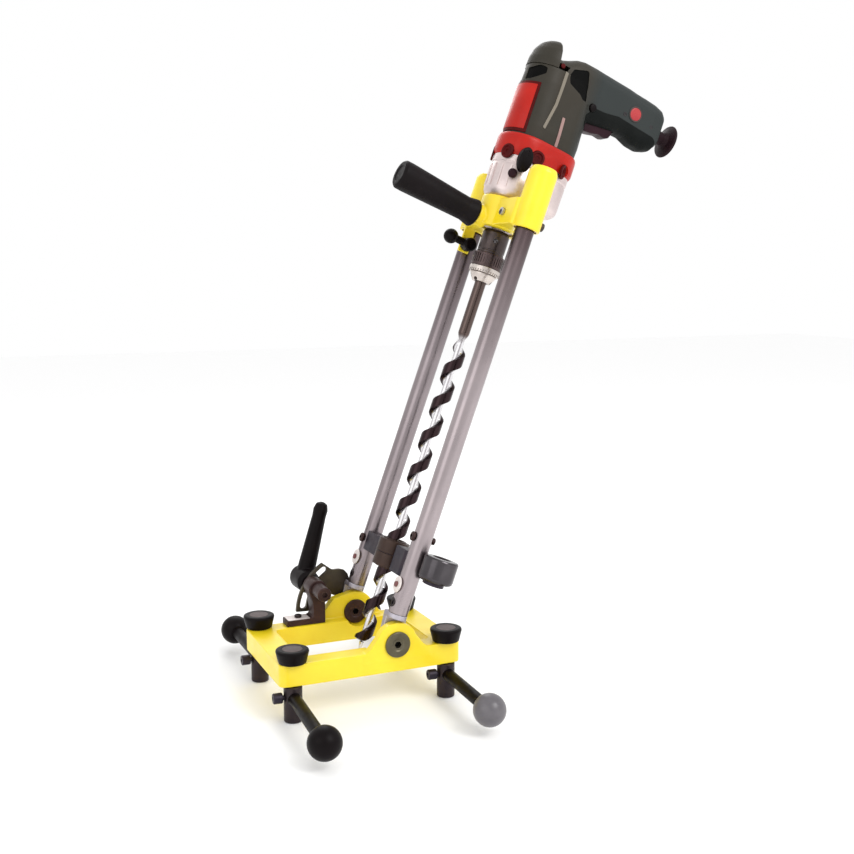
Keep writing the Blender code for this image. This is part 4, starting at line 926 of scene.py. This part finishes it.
HANDLE = [                   # (w, lowest u, highest u, half thickness)
    (CAP_CUT_W + GAP, 0.7300, 0.7850, 0.0280),
    (-0.0040, 0.7300, 0.7840, 0.0280),
    (0.0060, 0.7290, 0.7880, 0.0265),
    (0.0187, 0.7260, 0.7940, 0.0250),
    (0.0300, 0.7250, 0.7965, 0.0240),
    (0.0500, 0.7220, 0.7965, 0.0225),
    (0.0620, 0.7240, 0.7960, 0.0205),
    (0.1080, 0.7300, 0.7940, 0.0185),
    (0.1220, 0.7300, 0.7925, 0.0185),
    (0.1380, 0.7250, 0.7915, 0.0187),
    (0.1540, 0.7240, 0.7900, 0.0190),
    (0.1660, 0.7280, 0.7870, 0.0182),
    (HANDLE_END, 0.7350, 0.7815, 0.0165),
]
SLOT = ((0.0545, -0.0098, 0.7000), (0.1045, 0.0098, 0.7400))     # opening for the trigger


def handle_loft(rows, grow=0.0):
    return loft([handle_ring(w, low - grow, high + grow, half + grow) for w, low, high, half in rows])


def make_shells():
    """Both half shells as one moulding, with the trim that lies on their surface."""
    whole = solid(egg_loft([(SHELL_LOW - 0.003, 0.0335, 0.0305), (0.6850, 0.0345, 0.0315),
                            (0.7450, 0.0340, 0.0290), (SHELL_TOP, 0.0330, 0.0240)]))
    add(whole, handle_loft(HANDLE))
    cast(whole, 0.0010, 7, 0.45)
    # Flat rims where the flange and the cap meet the shells.
    cut(whole, box((-0.08, -0.08, 0.60), (0.08, 0.08, SHELL_LOW)))
    surface_of = solid(grown(whole, 0.0))
    make_motor_trim(whole, surface_of)
    drop(surface_of)
    cut(whole, egg_loft([(0.6600, 0.0310, 0.0280), (0.7450, 0.0310, 0.0260), (0.7620, 0.0300, 0.0210)]))
    cut(whole, handle_loft(HANDLE[3:-1], -WALL))
    cut(whole, rod(0.0290, 0.755, 0.775), upright(AXIS_W))
    cut(whole, box(*SLOT))
    cut(whole, rod(0.0083, 0.150, 0.190), local((0, 0, GLAND_U), X))
    cut(whole, rod(LOCK_HOLE_R, 0.0, 0.05, 48), local((LOCK_W, 0, LOCK_U), -Y))
    for tag, side in SIDES:
        half = solid(grown(whole, 0.0))
        keep = sorted((side * GAP / 2, side * 0.1))
        cut(half, box((-0.1, keep[0], 0.6), (0.3, keep[1], 0.9)), WORLD, "INTERSECT")
        piece(f"housing_{tag}_moulded", half, HOUSING, "housing_plastic", "carriage", MAST,
              [f"housing_shell_{tag}"])
    drop(whole)


TRIM_GAP, POCKET_TOP = 0.00008, 0.004     # clearance round trim, and how far its pocket is cut open


def sector_ring(r_in, r_out, start, end, low, high, steps=24):
    """Curved panel about Z between two angles in degrees."""
    outline = arc(0, 0, r_out, start, end, steps) + arc(0, 0, r_in, end, start, steps)
    return slab(outline, low, high, 0.0004, 2)


def shell_trim(whole, surface_of, name, outline, proud, sunk, finish, slot):
    """Trim let into the shell on both sides; its face stands proud of the surface."""
    for side, tag in ((-1, "near"), (1, "far")):
        reach = sorted((side * 0.004, side * 0.060))
        trim = skin(surface_of, outline, proud, -sunk, reach)
        pocket = skin(surface_of, outline, POCKET_TOP, -sunk, reach)
        cut(whole, grown(pocket, TRIM_GAP))
        drop(pocket)
        piece(f"{name}_{tag}", trim, finish, slot, "carriage", MAST)


def make_motor_trim(whole, surface_of):
    """Trim of the drill's shells, and the recesses it needs in them."""
    # Red panel on the side away from the handle, in a border of darker red painted shade.
    low, high, half_angle = 0.6716, 0.7395, 54
    border = sector_ring(0.0322, 0.0349, 180 - half_angle, 180 + half_angle, low, high)
    piece("side_panel_border", border, SHADED_RED, "red_paint", "carriage", at((AXIS_W, 0, 0)))
    panel = sector_ring(0.0343, 0.0357, 186 - half_angle, 174 + half_angle, low + 0.004, high - 0.0035)
    piece("side_panel", panel, RED, "red_paint", "carriage", at((AXIS_W, 0, 0)))
    pocket = sector_ring(0.0320, 0.0400, 179.7 - half_angle, 180.3 + half_angle, low - GAP, high + GAP)
    cut(whole, pocket, upright(AXIS_W))

    # Recesses behind the motor and in the fork of the handle, on both sides, lined with near-black painted
    # shade.
    vent = soften([(-0.0543, 0.7400), (-0.0484, 0.7535), (-0.0352, 0.7628), (-0.0270, 0.7610),
                   (-0.0270, 0.7530), (-0.0400, 0.7428)], 0.003, 5, closed=True)
    trim = partial(shell_trim, whole, surface_of)
    trim("brush_recess", vent, -0.0010, 0.0018, RECESS_SHADE, "rubber")
    fork = soften([(0.0056, 0.7620), (0.0111, 0.7755), (0.0341, 0.7839), (0.0397, 0.7641), (0.0416, 0.7425),
                   (0.0347, 0.7433), (0.0284, 0.7480), (0.0086, 0.7541)], 0.004, 5, closed=True)
    trim("fork_recess", fork, -0.0010, 0.0018, RECESS_SHADE, "rubber")
    # Ridge up the side of the motor, lighter as a painted highlight, and a pale bar over the flange.
    ridge = [(0.0018, 0.7655), (-0.0030, 0.7655), (-0.0044, 0.7201), (-0.0110, 0.6860), (-0.0072, 0.6845),
             (0.0000, 0.7201)]
    trim("housing_ridge", soften(ridge, 0.001, 3, closed=True), 0.0007, 0.0012, RIDGE_HIGHLIGHT, "housing_plastic")
    bar = [(0.0176, 0.7095), (0.0132, 0.7095), (0.0146, 0.6700), (0.0190, 0.6700)]
    trim("housing_bar", soften(bar, 0.0012, 4, closed=True), 0.0007, 0.0012, BAR_GREY, "aluminium")
    # Soft overmould on the grip side of the handle, up to a wavy line, round the trigger's opening.
    palm = [(0.0600, 0.7434), (0.0773, 0.7443), (0.1006, 0.7486), (0.1197, 0.7471), (0.1389, 0.7456),
            (0.1603, 0.7440), (0.1665, 0.7400), (0.1665, 0.7150), (0.0530, 0.7150), (0.0500, 0.7290)]
    palm, reach = soften(palm, 0.005, 5, closed=True), (-0.040, 0.040)
    layer = skin(surface_of, palm, 0.0006, -0.0012, reach)
    recess = skin(surface_of, palm, POCKET_TOP, -0.0012, reach)
    cut(whole, grown(recess, TRIM_GAP))
    drop(recess)
    cut(layer, box(*SLOT))
    cut(layer, rod(LOCK_HOLE_R, 0.0, 0.05, 48), local((LOCK_W, 0, LOCK_U), -Y))
    piece("handle_overmould", layer, SOFT_RUBBER, "rubber", "carriage", MAST)
    # Screws that hold the two shells together.
    for k, (w, y) in enumerate(((0.0560, -0.0180), (0.1080, -0.0176), (0.1530, -0.0176)), 1):
        socket_screw(f"shell_screw_{k}", at((w, y, 0.7560), -Y), 0.0026, 0.0014, BLACK_OXIDE, "carriage")


def make_cap():
    dome = [(0, SHELL_TOP + GAP), (0.0335, SHELL_TOP + GAP), (0.0330, 0.7760), (0.0300, 0.7880),
            (0.0240, 0.7975), (0.0150, 0.8035), (0, 0.8060)]
    room = [(0, SHELL_TOP - 0.0100), (0.0300, SHELL_TOP - 0.0100), (0.0300, 0.7750), (0.0270, 0.7860),
            (0.0220, 0.7940), (0.0140, 0.7995), (0, 0.8020)]
    place = at((AXIS_W, 0, 0))
    cut_w = CAP_CUT_W - AXIS_W
    cap = solid(turned(dome[:2] + soften(dome[1:], 0.016, 8)[1:], 0))
    carve(cap, box((cut_w, -0.06, 0.70), (0.06, 0.06, 0.85)))
    hollow = solid(turned(room[:2] + soften(room[1:], 0.012, 6)[1:], 0))
    carve(hollow, box((cut_w - 0.0025, -0.06, 0.70), (0.06, 0.06, 0.85)))
    carve(cap, grown(hollow, 0.0))
    drop(hollow)
    bevel = cap.modifiers.new("bevel", "BEVEL")
    bevel.width, bevel.segments, bevel.limit_method, bevel.angle_limit = 0.0012, 3, "ANGLE", radians(50)
    settle(cap)
    piece("rear_cap_moulded", cap, HOUSING, "housing_plastic", "carriage", place, ["rear_cap"])
    for k, side in enumerate((-1, 1)):
        # Screw heads in the heel of the handle, beside the cap, in the darker red of painted shade.
        shape = turned([(0, 0.0), (0.0032, 0.0), (0.0032, 0.0012), (0.0024, 0.0017), (0, 0.0017)], 0.0004, 32)
        piece(f"heel_screw_{k}", shape, SHADED_RED, "dark_steel", "carriage",
              at((-0.0075, side * 0.0276, 0.7715), (0, side, 0)))


TRIGGER_W, TRIGGER_U = 0.0795, 0.7300
BADGE_AT = (0.1235, -0.0185 - GAP, 0.7620)


def make_controls():
    outline = [(-0.0180, 0.0140), (-0.0180, -0.0006), (-0.0235, -0.0006), (-0.0235, -0.0120),
               (-0.0170, -0.0160), (-0.0070, -0.0150), (0.0050, -0.0120), (0.0150, -0.0130),
               (0.0210, -0.0110), (0.0235, -0.0050), (0.0235, 0.0140)]
    outline = [(TRIGGER_W + a, TRIGGER_U + b) for a, b in soften(outline, 0.005, 6, closed=True)]
    shape = slab(outline, -0.0094, 0.0094, 0.0022, 5, upright=True)
    piece("trigger_moulded", shape, MAROON, "black_plastic", "trigger", MAST, ["trigger"])
    button = [(0, 0.0100), (0.0048, 0.0100), (0.0053, 0.0110), (0.0053, 0.0235), (0.0045, 0.0250),
              (0, 0.0254)]
    piece("lock_button_moulded", turned(button, 0.0008, 48), BLACK_PLASTIC, "black_plastic", "lock_button",
          at((LOCK_W, 0, LOCK_U), -Y), ["trigger_lock_button"])
    badge = [(0, 0), (0.0085, 0), (0.0085, 0.0007), (0.0070, 0.0010), (0, 0.0010)]
    place = at(BADGE_AT, -Y)
    piece("badge_disc", turned(badge, 0.0003), BADGE_RED, "red_paint", "carriage", place, ["handle_badge"])
    ring = [(0.0087, 0), (0.0104, 0), (0.0104, 0.0005), (0.0098, 0.0008), (0.0087, 0.0008)]
    piece("badge_ring", turned(ring, 0.0002), BADGE_EDGE, "dark_steel", "carriage", place)
    gland = [(0, 0.1675), (0.0080, 0.1675), (0.0080, 0.1720), (0.0105, 0.1725), (0.0090, 0.1850),
             (0.0120, 0.1900), (0.0220, 0.1925), (0.0230, 0.1945), (0.0215, 0.1968), (0.0080, 0.1980),
             (0, 0.1980)]
    piece("cord_gland_moulded", turned(gland, 0.0012), GLAND_RUBBER, "rubber", "carriage",
          at((0, 0, GLAND_U), X), ["cord_gland"])

    place = at(SELECTOR_AT, -Y)
    oval = [(0.0098 * cos(a), 0.0165 * sin(a)) for a in (2 * pi * i / 56 for i in range(56))]
    layers = [(-0.0002, 0.84), (0.0012, 0.96), (0.0024, 1.0), (0.0076, 1.0), (0.0092, 0.95), (0.0100, 0.84)]
    selector = solid(loft([[(a * s, b * s, h) for a, b in oval] for h, s in layers]))
    add(selector, rod(0.0025, -0.0060, 0.0010, 32))
    carve(selector, slab(round_rect(-0.0012, 0.0012, 0.0040, 0.0125, 0.0011), 0.0092, 0.0120, 0.0002))
    piece("gear_selector_moulded", selector, BLACK_PLASTIC, "black_plastic", "gear_selector", place,
          ["gear_selector"])
    knob = [(0, -0.0060), (0.0025, -0.0060), (0.0025, 0.0), (0.0045, 0.0), (0.0060, 0.0015), (0.0060, 0.0050),
            (0.0045, 0.0065), (0, 0.0068)]
    piece("selector_button_turned", turned(knob, 0.0007, 48), MAROON, "dark_steel", "selector_button",
          at(BUTTON_AT, BUTTON_AXIS), ["selector_button"])


JAWS, TEETH = 3, 36


def around(count, start=0.0):
    """Evenly spaced angles in radians, from start in degrees."""
    return [2 * pi * k / count + radians(start) for k in range(count)]


def make_chuck():
    axis = at((AXIS_W, 0, 0))
    profile = [(0.0078, 0.4740), (0.0090, 0.4740), (0.0092, 0.4850), (0.0165, 0.4853), (0.0165, 0.5120),
               (0.0180, 0.5122), (0.0180, 0.5150), (0.0174, 0.5156), (0.0174, 0.5168), (0.0180, 0.5174),
               (0.0180, 0.5400), (0.0165, 0.5442), (0.0083, 0.5442), (0.0083, 0.5280), (0.0005, 0.5270),
               (0.0005, 0.5010), (0.0078, 0.5002)]
    body = solid(turned(profile, 0.0005))
    for a in around(JAWS, 250):
        carve(body, rod(0.0034, 0.008, 0.03, 32), local((0, 0, 0.5290), (cos(a), sin(a), 0)))
    piece("chuck_body_turned", body, CHUCK_DARK, "dark_steel", "spindle", axis, ["chuck_body"])
    profile = [(0.0093, 0.4742), (0.0118, 0.4742), (0.0172, 0.4832), (0.0172, 0.4851), (0.0093, 0.4849)]
    nose = solid(turned(profile, 0.0006))
    for a in around(JAWS, 205):
        carve(nose, rod(0.0027, 0.0085, 0.03, 32), local((0, 0, 0.4805), (cos(a), sin(a), -0.35)))
    piece("chuck_nose_turned", nose, CHUCK_RING_STEEL, "steel", "spindle", axis)
    sleeve = solid(tube(0.0208, 0.0168, 0.4936, 0.5117, 0.0008))
    band = solid(tube(0.0206, 0.0168, 0.4855, 0.4934, 0.0010))
    for a in around(TEETH):
        turn = Matrix.Rotation(a, 4, "Z")
        carve(sleeve, box((0.0196, -0.0007, 0.4970), (0.022, 0.0007, 0.5090)), turn)
        carve(band, box((0.0188, -0.0008, 0.4845), (0.022, 0.0008, 0.4885)), turn)
    piece("chuck_ring_turned", sleeve, CHUCK_SLEEVE, "steel", "chuck_ring", axis, ["chuck_ring"])
    piece("chuck_ring_band", band, CHUCK_RING_STEEL, "steel", "chuck_ring", axis)


def make_bit():
    """Single-spiral auger: every slice is the last one turned a little."""
    samples, per_turn = 36, 30
    low, high = -0.022, 0.395
    slices = int((high - low) / BIT_PITCH * per_turn)
    steps = around(samples)

    def round_rings(profile, turn=0.0):
        return [[(r * cos(a + turn), r * sin(a + turn), u) for a in steps] for r, u in profile]

    rings = round_rings(((0.0003, -0.0379), (0.0012, -0.0355), (0.0024, -0.0290), (0.0030, -0.0245)))
    for i in range(slices + 1):
        u = low + (high - low) * i / slices
        turn = 2 * pi * u / BIT_PITCH
        fade = min(1.0, (high - u) / 0.020, (u - low) / 0.002 + 0.55)
        ring = []
        for a in steps:
            away = degrees(min(a, 2 * pi - a))
            rise = max(0.0, min(1.0, (88 - away) / 30))
            rise = rise * rise * (3 - 2 * rise)
            r = BIT_CORE + (BIT_R - BIT_CORE) * rise * fade
            ring.append((r * cos(a + turn), r * sin(a + turn), u))
        rings.append(ring)
    shank = ((0.0060, 0.3990), (0.0073, 0.4022), (0.0075, 0.4045), (0.0075, 0.4990))
    rings += round_rings(shank, 2 * pi * high / BIT_PITCH)
    piece("auger_bit_milled", loft(rings), AUGER, "bright_steel", "spindle", at((AXIS_W, 0, 0)),
          ["auger_bit"])


# Inner pieces keep their CAD solids and get a proper finish
def finish_inner():
    finishes = {"stator": BLACK_OXIDE, "armature": COPPER, "spindle": BRIGHT, "lay_gear": STEEL,
                "spindle_bearing": BRIGHT, "switch_module": BLACK_PLASTIC}
    for node, finish in finishes.items():
        obj = frame["nodes"][node]
        for slot in obj.material_slots:
            slot.material = finish


# Stage
LAMPS = (                    # name, place, watts, size
    ("key", (1.0, -1.9, 2.0), 30, 1.3),
    ("fill", (-1.9, -0.9, 1.2), 8, 1.6),
    ("back", (0.4, 1.9, 1.8), 14, 1.4),
)
LAMP_AIM = Vector((0.12, 0.0, 0.35))
CAMERA_AT, CAMERA_DIP, CAMERA_TURN = (-0.5189, -1.3505, 0.5051), 8.083, 23.815   # degrees down, right
CAMERA_LENS, CAMERA_SENSOR = 47.78, 36.0


def make_stage():
    floor = solid(box((-6, -6, POST_BOTTOM - 0.0205), (6, 6, POST_BOTTOM - 0.0005)), "floor")
    mat = bpy.data.materials.new("pale_floor")
    mat.use_nodes = True
    shader = mat.node_tree.nodes["Principled BSDF"]
    shader.inputs["Base Color"].default_value = (0.97, 0.97, 0.97, 1)
    shader.inputs["Roughness"].default_value = 0.9
    floor.data.materials.append(mat)

    world = bpy.data.worlds.new("studio")
    world.use_nodes = True
    world.node_tree.nodes["Background"].inputs["Color"].default_value = (1.0, 1.0, 1.0, 1)
    world.node_tree.nodes["Background"].inputs["Strength"].default_value = 1.0
    bpy.context.scene.world = world
    for name, spot, power, size in LAMPS:
        lamp = bpy.data.lights.new(name, "AREA")
        lamp.energy, lamp.size = power, size
        obj = bpy.data.objects.new(name, lamp)
        obj.location = spot
        obj.rotation_euler = (LAMP_AIM - Vector(spot)).to_track_quat("-Z", "Y").to_euler()
        bpy.context.scene.collection.objects.link(obj)


def make_camera():
    data = bpy.data.cameras.new("camera")
    data.lens, data.sensor_width = CAMERA_LENS, CAMERA_SENSOR
    camera = bpy.data.objects.new("camera", data)
    camera.location = CAMERA_AT
    camera.rotation_euler = (radians(90 - CAMERA_DIP), 0, radians(-CAMERA_TURN))
    bpy.context.scene.collection.objects.link(camera)
    bpy.context.scene.camera = camera


def main():
    make_camera()
    make_stage()
    make_base()
    make_pivot_bolt("front", OLIVE_STEEL)
    # The rear bolt's darker brown finish is painted shade, for its head in the shade of the ear's inner face.
    make_pivot_bolt("rear", BROWN_OXIDE)
    for tag, spot in KNOB_SPOTS.items():
        make_corner(tag, spot)
    make_tilt_lock()
    for tag, side in SIDES:
        make_leg(tag, side)
        make_column(tag, side)
    make_sector()
    make_guide()
    make_carriage()
    make_gearbox()
    make_flange()
    make_shells()
    make_cap()
    make_controls()
    make_chuck()
    make_bit()
    finish_inner()
    bpy.context.scene.view_settings.view_transform = "Standard"


main()
